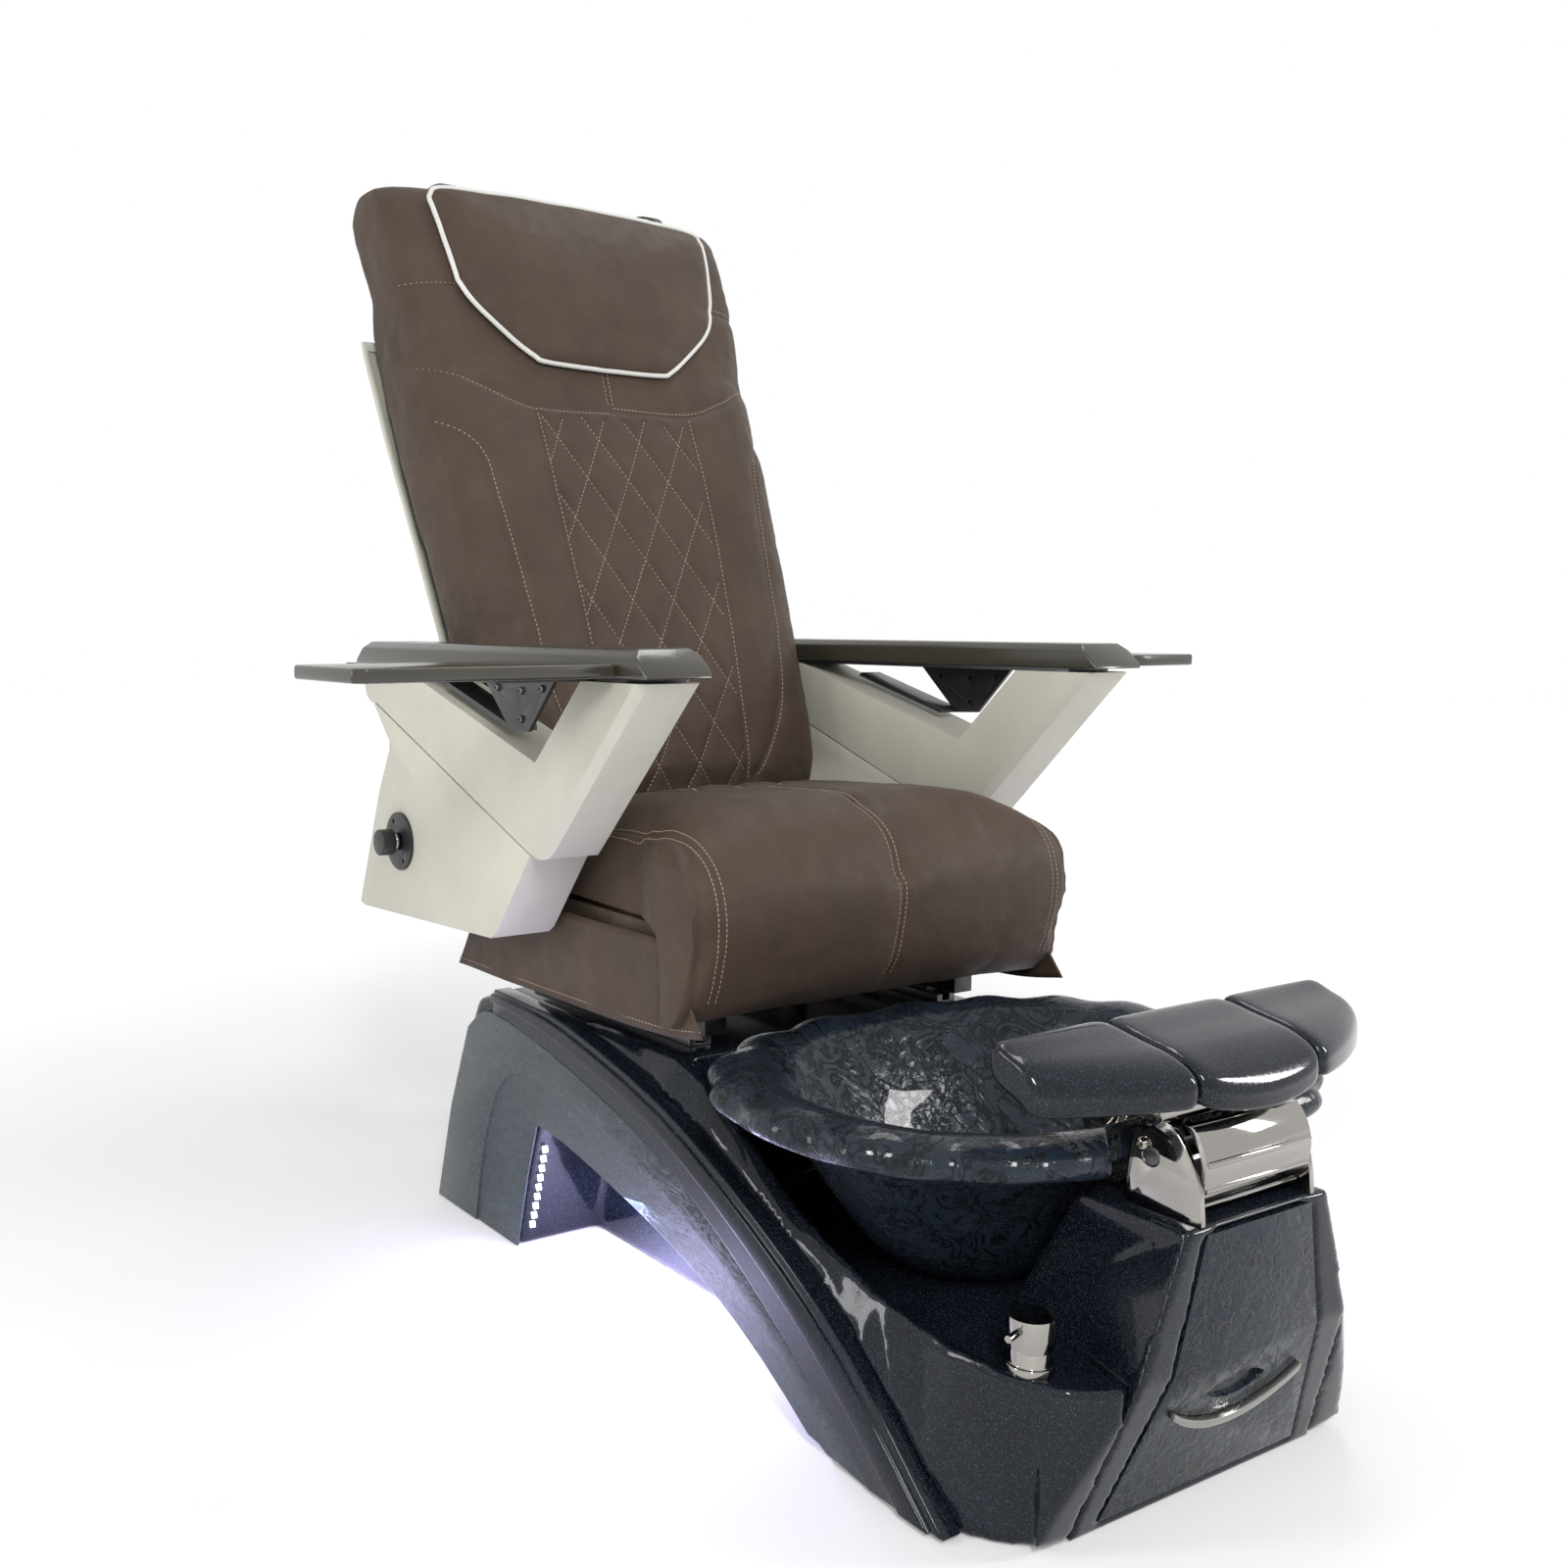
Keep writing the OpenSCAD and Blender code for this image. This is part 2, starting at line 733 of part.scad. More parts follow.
module arm_pivots() {
    color(steel)
        for (side = [1, -1])
            on_side(side)
                x_bar(pin_r, 291, 380, arm_pivot[0], arm_pivot[1]);
}

// The V-shaped upper shell, which lifts at its rear end
module arm_v(side) {
    color(cream)
        on_side(side)
            difference() {
                union() {
                    slab(concat([leg_front_top, leg_back_top, v_bottom, v_rear,
                        [346, arm_top_z], [480, arm_top_z], [478, 770]],
                        [seam_rear + [8, 6], seam_rear + [0.2, 0.6], seam_front + [0, 0.6]],
                        smooth([[4, 577], [-12, 577], leg_front_low], 3)),
                        arm_inner_x, arm_outer_x);
                    x_bar(boss_r, arm_inner_x, arm_outer_x, arm_pivot[0], arm_pivot[1]);
                }
                x_bar(pin_r + fit, 280, 382, arm_pivot[0], arm_pivot[1]);
                arm_bevel();
                box([280, 300, arm_top_z], [400, 520, 840]);
            }
}
module arm_v_left() { arm_v(1); }
module arm_v_right() { arm_v(-1); }

// Black steel carrier: a strap under the cap, a gusset in the V and the tray's bracket
module arm_frame(side) {
    color(black)
        on_side(side)
            difference() {
                union() {
                    box([306, -180, arm_top_z], [382, 496, cap_z]);
                    box([346, 490, arm_top_z], [380, 560, cap_z]);
                    slab([[-26, arm_top_z], [36, 724], [78, 722], [150, arm_top_z]], 372, 377);
                    slab([[78, 722], [250, 771], [244, 776], [78, 729]], 340, 377);
                    box([372, tray_pivot[1] - 22, arm_top_z],
                        [tray_pivot[0] + 26, tray_pivot[1] + 22, cap_z]);
                    translate([tray_pivot[0], tray_pivot[1], arm_top_z])
                        cylinder(r = 6, h = 16.5, $fn = 48);
                }
                for (p = [[4, 776], [52, 738], [110, 774], [52, 772]])
                    x_bar(3.2, 360, 390, p[0], p[1]);
            }
}
module arm_frame_left() { arm_frame(1); }
module arm_frame_right() { arm_frame(-1); }

// Cap with sloping ends and bevelled long edges
module arm_cap(side) {
    color(olive)
        on_side(side)
            intersection() {
                slab([[-226, cap_z], [-222, cap_z + 8], [-196, cap_z + cap_t],
                    [470, cap_z + cap_t], [500, cap_z + 8], [504, cap_z]], 296, 392);
                translate([0, 520, 0])
                    rotate([90, 0, 0])
                        linear_extrude(800)
                            polygon([[arm_inner_x, cap_z], [390, cap_z],
                                [390, cap_z + cap_t - 9], [380, cap_z + cap_t],
                                [arm_inner_x + 9, cap_z + cap_t],
                                [arm_inner_x, cap_z + cap_t - 9]]);
            }
}
module arm_cap_left() { arm_cap(1); }
module arm_cap_right() { arm_cap(-1); }

// Tray with its length along X, drawn about its pivot
module tray_plate() {
    half = tray_w / 2;
    difference() {
        linear_extrude(tray_t)
            difference() {
                union() {
                    translate([-half, -half]) square([tray_l, tray_w - tray_corner]);
                    translate([-half + tray_corner, -half])
                        square([tray_l - tray_corner, tray_w]);
                    translate([-half + tray_corner, half - tray_corner])
                        circle(r = tray_corner, $fn = 96);
                }
                translate([tray_l - half, -half]) rotate(45) square(16, center = true);
                translate([tray_l - half, half]) rotate(45) square(16, center = true);
            }
        translate([0, 0, -1]) cylinder(r = 6 + fit, h = tray_t - 2, $fn = 48);
    }
}

module tray(side, turn) {
    color(olive)
        on_side(side)
            translate([tray_pivot[0], tray_pivot[1], cap_z + 0.4])
                rotate(turn)
                    tray_plate();
}
module tray_left() { tray(1, 90); }
module tray_right() { tray(-1, 0); }

module release_plate(side) {
    color(black)
        on_side(side)
            difference() {
                x_bar(release_r, arm_outer_x, arm_outer_x + 4, release_pos[0], release_pos[1]);
                x_bar(12 + fit, arm_outer_x - 20, arm_outer_x + 20, release_pos[0], release_pos[1]);
                for (a = [60, 240])
                    x_bar(3, arm_outer_x + 1, arm_outer_x + 8, release_pos[0] + 30 * cos(a),
                        release_pos[1] + 30 * sin(a));
            }
}
module release_plate_left() { release_plate(1); }
module release_plate_right() { release_plate(-1); }

module release_knob(side) {
    color(chrome)
        on_side(side) {
            x_bar(12, arm_outer_x - 12, arm_outer_x + 26, release_pos[0], release_pos[1]);
            x_bar(18, arm_outer_x + 14, arm_outer_x + 34, release_pos[0], release_pos[1]);
        }
}
module release_knob_left() { release_knob(1); }
module release_knob_right() { release_knob(-1); }

// ---- Back ----

module recline_pivots() {
    color(steel)
        for (side = [1, -1])
            on_side(side)
                x_bar(10, rail_x - 16, rail_x + 24, back_pivot[0], back_pivot[1]);
}

function back_y(z) = lookup(z, back_front_y);
function rear_y(z) = lookup(z, back_rear_y);

module in_back() {
    translate([0, back_pivot[0], back_pivot[1]])
        rotate([-lean, 0, 0])
            children();
}

// Frame: a leaning ladder inside the cushion, hung on the recline pivots, with a
// lever under it for the recline rod
module back_frame() {
    color(steel)
        difference() {
            union() {
                in_back() {
                    for (side = [1, -1])
                        on_side(side) {
                            box([rail_x + 2, -8, 0], [rail_x + 22, 24, 690]);
                            x_bar(18, rail_x + 2, rail_x + 22, 0, 0);
                        }
                    box([-rail_x - 2, 0, 110], [rail_x + 2, 20, 140]);
                    box([-rail_x - 2, 0, 662], [rail_x + 2, 20, 688]);
                    x_bar(8.5, -rail_x - 2, rail_x + 2, 0, 23);
                }
                box([-8, 270, 404], [8, 282, 580]);
            }
            x_bar(10 + fit, -300, 300, back_pivot[0], back_pivot[1]);
        }
}

// Cross-section of the cushion at height z: crowned in front, with its sides drawn in
function cushion_ring(z) = let (
    w = lookup(z, back_half_w), f = back_y(z), r = rear_y(z) - (z < 1280 ? 16 : 0),
    side_y = f + 42, rise = bolster_rise * min(1, max(0, (1250 - z) / 60), max(0, (z - 600) / 80)))
    concat([for (s = [-1, -0.985, -0.94, -0.86, -0.74, -0.6, -0.5, -0.455, -0.42, -0.3, -0.15,
        0, 0.15, 0.3, 0.42, 0.455, 0.5, 0.6, 0.74, 0.86, 0.94, 0.985, 1])
        let (a = abs(s),
            bulge = a < 0.42 ? 0 : a < 0.46 ? 0.2 : sin(180 * min(1, (a - 0.42) / 0.7)))
        [s * w, f + (side_y - f) * pow(a, 7) - rise * bulge + (a < 0.44 ? 0 : 3), z]],
        [[w, r - 10, z], [w * 0.97, r, z], [-w * 0.97, r, z], [-w, r - 10, z]]);

// Hollow behind the cushion's face, where the massage works run
function hollow_ring(z) = let (
    w = lookup(z, back_half_w) - 40, f = back_y(z) + 44, r = rear_y(z) + 40)
    [[-w, f, z], [w, f, z], [w, r, z], [-w, r, z]];

module back_cushion() {
    zs = [592, 604, 640, 700, 770, 835, 900, 960, 1020, 1080, 1130, 1173, 1200, 1235, 1276,
        1300, 1326, 1340, 1354, 1380, 1420, 1455, 1482, 1498, 1508];
    color(brown)
        difference() {
            loft([for (z = zs) cushion_ring(z)]);
            loft([for (z = [560, 592, 700, 835, 960, 1080, 1173, 1240]) hollow_ring(z)]);
        }
}

// Plastic shell that closes the back behind the massage works
module back_shell() {
    color(cream)
        difference() {
            shell_solid(0);
            shell_solid(6);
        }
}

function shell_ring(z, t) = let (
    w = lookup(z, back_half_w) - 4 - t, r = rear_y(z) - t, f = rear_y(z) - 15.6 - t)
    [[-w, f, z], [w, f, z], [w, r - 8, z], [w * 0.93, r, z], [-w * 0.93, r, z],
        [-w, r - 8, z]];

module shell_solid(t) {
    loft([for (z = [t > 0 ? 648 : 632, 700, 835, 960, 1118, 1248, t > 0 ? 1258 : 1272])
        shell_ring(z, t)]);
}

// Head pillow, a shield with a rolled edge
function pillow_w(z) = lookup(z, [[1228, 96], [1240, 120], [1303, 206], [1330, 226],
    [1400, 238], [1470, 243], [1488, 236]]);

module head_pillow() {
    color(brown)
        loft([for (z = [1228, 1240, 1270, 1303, 1340, 1400, 1450, 1474, 1488]) let (
            w = pillow_w(z), y = back_y(z), t = z < 1235 || z > 1480 ? 14 : z < 1250 ? 26 : 34)
            concat([for (s = [-1, -0.97, -0.85, -0.5, 0, 0.5, 0.85, 0.97, 1])
                [s * w, y - 3 - t * (1 - pow(abs(s), 8)), z]],
                [[w * 0.97, y - 1.2, z], [-w * 0.97, y - 1.2, z]])]);
}

module rollers(grow) {
    in_back()
        for (x = [-70, 70], z = [218, 272])
            translate([x, -4, z]) sphere(r = 12 + grow, $fn = 32);
}

// Carriage of the massage works, which climbs between the frame's side members
module massage_carriage() {
    color(black)
        difference() {
            in_back() {
                box([-150, 0, 200], [150, 30, 290]);
                box([-203, 4, 225], [203, 16, 265]);
                translate([-60, 60, 245])
                    rotate([90, 0, 0]) cylinder(r = 28, h = 31, $fn = 48);
                translate([70, 52, 245])
                    rotate([90, 0, 0]) cylinder(r = 20, h = 23, $fn = 48);
            }
            rollers(0.1);
        }
}

module massage_rollers() {
    color(brown)
        rollers(0);
}

module recline_motor() {
    color(black)
        difference() {
            union() {
                box([-32, 0, frame_low + 24], [32, 160, frame_low + 70]);
                translate([0, 159, frame_low + 47])
                    rotate([-90, 0, 0])
                        cylinder(r = 18, h = 9, $fn = 48);
            }
            translate([0, 8, frame_low + 47])
                rotate([-90, 0, 0])
                    cylinder(r = 8 + fit, h = 170, $fn = 48);
        }
}

module recline_rod() {
    color(chrome)
        translate([0, 100, frame_low + 47])
            rotate([-90, 0, 0])
                cylinder(r = 8, h = 166, $fn = 48);
}

base_shell();
side_panel_left();
side_panel_right();
arch_trim_left();
arch_trim_right();
led_strips();
basin();
basin_drain();
basin_jets();
pedestal();
access_door();
door_handle();
tap_base();
tap_knob();
drain_knob();
side_stub();
footrest_cheeks();
footrest_drum();
footrest_shaft();
footrest_arms();
footrest_pad_left();
footrest_pad_middle();
footrest_pad_right();
slide_rails();
slide_shoes();
seat_frame();
seat_pan();
seat_cushion();
seat_skirt();
arm_shell_left();
arm_shell_right();
arm_pivots();
release_plate_left();
release_plate_right();
release_knob_left();
release_knob_right();
arm_v_left();
arm_v_right();
arm_frame_left();
arm_frame_right();
arm_cap_left();
arm_cap_right();
tray_left();
tray_right();
recline_pivots();
back_frame();
back_cushion();
back_shell();
head_pillow();
massage_carriage();
massage_rollers();
recline_motor();
recline_rod();
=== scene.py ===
"""Looks for the pedicure spa chair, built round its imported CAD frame. Units are metres."""
import json
import math

import bmesh
import bpy
import numpy as np
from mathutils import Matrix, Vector, noise
from mathutils.bvhtree import BVHTree


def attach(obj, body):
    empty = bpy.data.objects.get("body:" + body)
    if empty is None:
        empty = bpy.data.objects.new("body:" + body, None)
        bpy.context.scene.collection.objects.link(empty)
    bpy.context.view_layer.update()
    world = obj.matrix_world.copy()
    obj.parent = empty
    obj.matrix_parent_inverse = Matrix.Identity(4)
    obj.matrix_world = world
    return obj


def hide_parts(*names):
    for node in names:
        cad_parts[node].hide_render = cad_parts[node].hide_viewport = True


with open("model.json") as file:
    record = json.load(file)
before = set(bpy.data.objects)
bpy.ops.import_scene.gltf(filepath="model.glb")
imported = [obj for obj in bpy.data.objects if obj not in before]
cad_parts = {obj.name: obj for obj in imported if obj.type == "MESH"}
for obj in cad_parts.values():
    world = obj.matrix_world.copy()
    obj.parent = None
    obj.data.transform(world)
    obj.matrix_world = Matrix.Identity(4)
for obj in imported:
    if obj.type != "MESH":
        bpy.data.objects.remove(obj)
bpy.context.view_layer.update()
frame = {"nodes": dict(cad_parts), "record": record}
SCENE = bpy.context.scene
NODE_BODY = {n: body for body, nodes in frame["record"]["behaviour"]["bodies"].items()
             for n in nodes}
NODE_SLOT = {s["node"]: s["material_slot"] for s in frame["record"]["subparts"]}
MM = 0.001


# ---------------------------------------------------------------- camera and light

CAMERA_PLACE = (-1.303, -1.541, 0.856)
CAMERA_AZIMUTH = math.radians(-31.18)
CAMERA_PITCH = math.radians(6.07)
LENS_MM = 35.4
SENSOR_MM = 36.0
SHIFT_X = 0.15
CHAIR_MIDDLE = (0, 0, 0.6)
# Strength of the floor's glow close to the chair and far out, and the distances between
# which it grows
GLOW_NEAR = 0.18
GLOW_FAR = 0.60
GLOW_START = 1.0
GLOW_END = 3.2
# Strength of the white surroundings, as a light and as they are seen
WORLD_LIGHT = 0.5
WORLD_SEEN = 1.0


def make_camera():
    data = bpy.data.cameras.new("camera")
    data.lens = LENS_MM
    data.sensor_width = SENSOR_MM
    data.shift_x = SHIFT_X
    data.clip_end = 60
    camera = bpy.data.objects.new("camera", data)
    camera.location = CAMERA_PLACE
    camera.rotation_euler = (math.pi / 2 - CAMERA_PITCH, 0, CAMERA_AZIMUTH)
    SCENE.collection.objects.link(camera)
    SCENE.camera = camera


def area_light(name, place, target, size, watts, colour=(1, 1, 1)):
    """Rectangular lamp of a width and a height, aimed at a target."""
    data = bpy.data.lights.new(name, "AREA")
    data.shape = "RECTANGLE"
    data.size, data.size_y = size
    data.energy = watts
    data.color = colour
    light = bpy.data.objects.new(name, data)
    light.location = place
    aim = Vector(target) - Vector(place)
    light.rotation_euler = aim.to_track_quat("-Z", "Y").to_euler()
    SCENE.collection.objects.link(light)


def make_lights():
    area_light("key", (-1.7, -2.7, 2.5), CHAIR_MIDDLE, (0.42, 1.0), 62)
    area_light("fill", (2.6, -2.2, 1.7), CHAIR_MIDDLE, (0.4, 1.0), 34)
    area_light("side", (-3.2, 0.6, 1.5), CHAIR_MIDDLE, (0.6, 1.3), 26)
    area_light("top", (0.9, 0.2, 3.2), (0, -0.3, 0.4), (0.42, 1.3), 12)
    for side in (-1, 1):
        area_light(f"arch_glow_{side}", (side * 0.215, 0.02, 0.135), (side * 0.24, 0.0, 0.0),
                   (0.06, 0.26), 5.0, (0.62, 0.58, 1.0))


def seen_rays(tree):
    """One for rays from the camera, straight or by way of metal and glass, else zero."""
    path = tree.nodes.new("ShaderNodeLightPath")
    total = path.outputs["Is Camera Ray"]
    for name in ("Is Glossy Ray", "Is Transmission Ray"):
        larger = tree.nodes.new("ShaderNodeMath")
        larger.operation = "MAXIMUM"
        tree.links.new(total, larger.inputs[0])
        tree.links.new(path.outputs[name], larger.inputs[1])
        total = larger.outputs[0]
    return total


def floor_white():
    """Pale floor that reads as white where it is lit and keeps the object's shadow."""
    g = Graph("floor_white")
    paint = g.ramp(g.noise(3, 2), [(0.3, 0.84), (0.7, 0.86)])
    g.link(paint, "Base Color")
    g.set(rough=0.75)
    away = g.node("ShaderNodeVectorMath", {0: g.place}, operation="LENGTH").outputs["Value"]
    strength = g.node("ShaderNodeMapRange", {
        "Value": away, "From Min": GLOW_START, "From Max": GLOW_END,
        "To Min": GLOW_NEAR, "To Max": GLOW_FAR},
        interpolation_type="SMOOTHSTEP").outputs["Result"]
    glow = g.node("ShaderNodeEmission", {"Color": (1, 1, 1, 1), "Strength": strength})
    both = g.node("ShaderNodeAddShader")
    mix = g.node("ShaderNodeMixShader", {"Fac": seen_rays(g.tree)})
    principled = g.shader.outputs[0]
    g.tree.links.new(principled, both.inputs[0])
    g.tree.links.new(glow.outputs[0], both.inputs[1])
    g.tree.links.new(principled, mix.inputs[1])
    g.tree.links.new(both.outputs[0], mix.inputs[2])
    out = next(n for n in g.tree.nodes if n.type == "OUTPUT_MATERIAL")
    g.tree.links.new(mix.outputs[0], out.inputs["Surface"])
    return g.material


def make_world():
    """White surroundings that light the chair less than they are seen."""
    world = bpy.data.worlds.new("studio")
    SCENE.world = world
    world.use_nodes = True
    tree = world.node_tree
    tree.nodes.clear()
    seen = seen_rays(tree)
    soft = tree.nodes.new("ShaderNodeBackground")
    white = tree.nodes.new("ShaderNodeBackground")
    for shader, strength in ((soft, WORLD_LIGHT), (white, WORLD_SEEN)):
        shader.inputs["Strength"].default_value = strength
        shader.inputs["Color"].default_value = (1, 1, 1, 1)
    mix = tree.nodes.new("ShaderNodeMixShader")
    tree.links.new(seen, mix.inputs["Fac"])
    tree.links.new(soft.outputs[0], mix.inputs[1])
    tree.links.new(white.outputs[0], mix.inputs[2])
    out = tree.nodes.new("ShaderNodeOutputWorld")
    tree.links.new(mix.outputs[0], out.inputs["Surface"])


# ---------------------------------------------------------------- materials

FLAKE_SCALE = 1500.0


class Graph:
    """Short calls for a material's node tree."""

    def __init__(self, name):
        self.material = bpy.data.materials.new(name)
        self.material.use_nodes = True
        self.tree = self.material.node_tree
        self.shader = self.tree.nodes["Principled BSDF"]
        where = self.tree.nodes.new("ShaderNodeTexCoord")
        self.place = where.outputs["Object"]

    def node(self, kind, inputs=None, **settings):
        made = self.tree.nodes.new(kind)
        for key, value in settings.items():
            setattr(made, key, value)
        for key, value in (inputs or {}).items():
            if isinstance(value, bpy.types.NodeSocket):
                self.tree.links.new(value, made.inputs[key])
            else:
                made.inputs[key].default_value = value
        return made

    def set(self, **values):
        names = {"rough": "Roughness", "metal": "Metallic", "coat": "Coat Weight",
                 "coat_rough": "Coat Roughness", "sheen": "Sheen Weight",
                 "sheen_rough": "Sheen Roughness", "level": "Specular IOR Level",
                 "glow": "Emission Strength"}
        for key, value in values.items():
            self.shader.inputs[names[key]].default_value = value

    def stretched(self, scale):
        return self.node("ShaderNodeMapping", {"Vector": self.place, "Scale": scale}).outputs[0]

    def noise(self, scale, detail=3, rough=0.5, distortion=0.0, vector=None):
        return self.node("ShaderNodeTexNoise", {
            "Vector": vector or self.place, "Scale": scale, "Detail": detail,
            "Roughness": rough, "Distortion": distortion}).outputs["Fac"]

    def ramp(self, value, stops):
        made = self.node("ShaderNodeValToRGB", {"Fac": value})
        points = made.color_ramp.elements
        while len(points) < len(stops):
            points.new(0.5)
        for point, (place, colour) in zip(points, stops):
            point.position = place
            point.color = (*colour, 1) if isinstance(colour, tuple) else (colour,) * 3 + (1,)
        return made.outputs["Color"]

    def bump(self, height, distance, strength=1.0, under=None):
        inputs = {"Height": height, "Distance": distance, "Strength": strength}
        if under is not None:
            inputs["Normal"] = under
        return self.node("ShaderNodeBump", inputs).outputs["Normal"]

    def link(self, value, socket):
        self.tree.links.new(value, self.shader.inputs[socket])


def shades(colour, spread):
    """A darker and a lighter shade of a colour."""
    return (tuple(c * (1 - spread) for c in colour), tuple(c * (1 + spread) for c in colour))


def leather(name, colour):
    """Leatherette with a pebbled grain and soft creases."""
    g = Graph(name)
    dark, light = shades(colour, 0.16)
    g.link(g.ramp(g.noise(9, 5, 0.6), [(0.3, dark), (0.7, light)]), "Base Color")
    g.link(g.ramp(g.noise(40, 4), [(0.3, 0.50), (0.7, 0.64)]), "Roughness")
    cells = g.node("ShaderNodeTexVoronoi", {"Vector": g.place, "Scale": 620.0},
                   feature="SMOOTH_F1").outputs["Distance"]
    pebble = g.bump(cells, 0.0006, 0.45)
    creases = g.bump(g.noise(26, 6, 0.62, 1.2), 0.0035, 0.35, pebble)
    g.link(creases, "Normal")
    g.set(sheen=0.03, sheen_rough=0.4, level=0.22)
    return g.material


def gelcoat(name, colour, flake, rough, relief=0.0, relief_scale=20.0, grain=(1, 1, 1),
            vein=1.7, coat=0.28, level=0.16):
    """Glossy moulding with metal flakes and, where relief is given, raised veins."""
    g = Graph(name)
    cells = g.node("ShaderNodeTexVoronoi", {"Vector": g.place, "Scale": FLAKE_SCALE})
    random = g.node("ShaderNodeSeparateColor", {"Color": cells.outputs["Color"]})
    sparkle = g.ramp(random.outputs[0], [(0.90, 0.0), (0.99, 1.0)])
    dark, light = shades(colour, 0.2)
    clouds = g.ramp(g.noise(14, 4), [(0.3, dark), (0.7, light)])
    mix = g.node("ShaderNodeMix", {"Factor": sparkle, "A": clouds, "B": (*flake, 1)},
                 data_type="RGBA")
    colour_out = mix.outputs["Result"]
    if relief:
        vector = g.stretched(grain)
        lines = g.noise(relief_scale, 5, 0.62, 2.4, vector)
        veins = g.ramp(lines, [(0.455, 0.0), (0.492, 1.0), (0.508, 1.0), (0.545, 0.0)])
        fold = g.ramp(g.noise(relief_scale * 2.3, 3, 0.5, 1.4, vector), [(0.35, 0), (0.65, 1)])
        first = g.bump(veins, relief, 0.7)
        g.link(g.bump(fold, relief * 0.4, 0.5, first), "Normal")
        veined = g.node("ShaderNodeMix", {"Factor": veins, "A": colour_out,
                        "B": (*[c * vein for c in colour], 1)}, data_type="RGBA")
        colour_out = veined.outputs["Result"]
    else:
        g.link(g.bump(g.noise(160, 2), 0.00025, 0.5), "Normal")
    g.link(colour_out, "Base Color")
    g.set(rough=rough, coat=coat, coat_rough=0.02, level=level)
    return g.material


def plastic(name, colour, rough, bump, scale, coat=0.0):
    """Plastic or paint with a fine grain."""
    g = Graph(name)
    dark, light = shades(colour, 0.05)
    g.link(g.ramp(g.noise(7, 5, 0.6), [(0.3, dark), (0.7, light)]), "Base Color")
    g.link(g.ramp(g.noise(60, 3), [(0.3, rough * 0.88), (0.7, rough * 1.12)]), "Roughness")
    g.link(g.bump(g.noise(scale, 3), bump, 0.6), "Normal")
    g.set(coat=coat, coat_rough=0.06)
    return g.material


def metal(name, colour, rough, grain=(1, 1, 1)):
    """Metal with faint streaks; the grain sets how fine they are along each axis."""
    g = Graph(name)
    streaks = g.noise(260, 3, 0.5, 0.0, g.stretched(grain))
    dark, light = shades(colour, 0.03)
    g.link(g.ramp(streaks, [(0.3, dark), (0.7, light)]), "Base Color")
    g.link(g.ramp(g.noise(22, 4), [(0.3, rough * 0.7), (0.7, rough * 1.3)]), "Roughness")
    g.link(g.bump(streaks, 0.00008, 0.3), "Normal")
    g.set(metal=1.0)
    return g.material


def wood(name, colour):
    g = Graph(name)
    dark, light = shades(colour, 0.25)
    rings = g.noise(9, 5, 0.6, 0.8, g.stretched((0.5, 4, 4)))
    g.link(g.ramp(rings, [(0.35, dark), (0.65, light)]), "Base Color")
    g.link(g.bump(rings, 0.0005, 0.4), "Normal")
    g.set(rough=0.65)
    return g.material


def lamp(name, colour, glow):
    g = Graph(name)
    hot = g.ramp(g.noise(300, 2), [(0.2, tuple(c * 0.93 for c in colour)), (0.8, colour)])
    g.link(hot, "Base Color")
    g.link(hot, "Emission Color")
    g.set(glow=glow, rough=0.4)
    return g.material


def thread(name, colour):
    g = Graph(name)
    dark, light = shades(colour, 0.15)
    g.link(g.ramp(g.noise(500, 2), [(0.3, dark), (0.7, light)]), "Base Color")
    g.set(rough=0.6, sheen=0.2)
    return g.material


LOOKS = {
    "gelcoat_dark": gelcoat("gelcoat_dark", (0.006, 0.008, 0.013), (0.07, 0.09, 0.13), 0.12),
    "gelcoat_textured": gelcoat("gelcoat_textured", (0.026, 0.038, 0.045),
                                (0.10, 0.13, 0.15), 0.24, 0.0012, 16, (1, 1, 2.6),
                                coat=0.45, level=0.24),
    "gelcoat_crackle": gelcoat("gelcoat_crackle", (0.014, 0.021, 0.033),
                               (0.05, 0.07, 0.10), 0.15, 0.0032, 19, vein=0.25),
    "cream_plastic": plastic("cream_plastic", (0.60, 0.585, 0.50), 0.52, 0.0007, 420),
    "olive_gloss": plastic("olive_gloss", (0.046, 0.042, 0.031), 0.22, 0.0002, 300, 0.12),
    "leatherette": leather("leatherette", (0.068, 0.046, 0.034)),
    "chrome": metal("chrome", (0.34, 0.325, 0.302), 0.06),
    "black_steel": plastic("black_steel", (0.010, 0.010, 0.011), 0.38, 0.0002, 500, 0.2),
    # Painted shade: the grey steel is much darker than bare steel, so that the seat frame and
    # rails seen under the seat look shaded.
    "grey_steel": metal("grey_steel", (0.13, 0.13, 0.135), 0.40, (1, 8, 1)),
    "black_plastic": plastic("black_plastic", (0.012, 0.012, 0.013), 0.42, 0.0003, 800),
    # Painted shade: the board is much darker than bare ply, so that the seat pan's edge, seen
    # in the slit under the seat, looks shaded.
    "board": wood("board", (0.09, 0.065, 0.045)),
    "lamp_white": lamp("lamp_white", (0.86, 0.83, 1.0), 2.6),
}
THREAD = thread("thread", (0.34, 0.255, 0.185))
PIPING = plastic("piping", (0.72, 0.71, 0.68), 0.42, 0.0002, 900)


# ---------------------------------------------------------------- mesh helpers

BEVEL_SEGMENTS = 3
BEVEL_ANGLE = math.radians(32)
SHARP_ANGLE = math.radians(38)
SMOOTH_FACTOR = 0.5
AIR_PRESSURE = 4.0
AIR_FRAMES = 20
# Each cushion is remeshed this coarse and drawn in this far before it is blown up
CUSHION_VOXEL_MM = 7
CUSHION_INSET_MM = 5


def paint(mesh, material):
    """Gives a mesh one material in place of all it has."""
    mesh.materials.clear()
    mesh.materials.append(material)


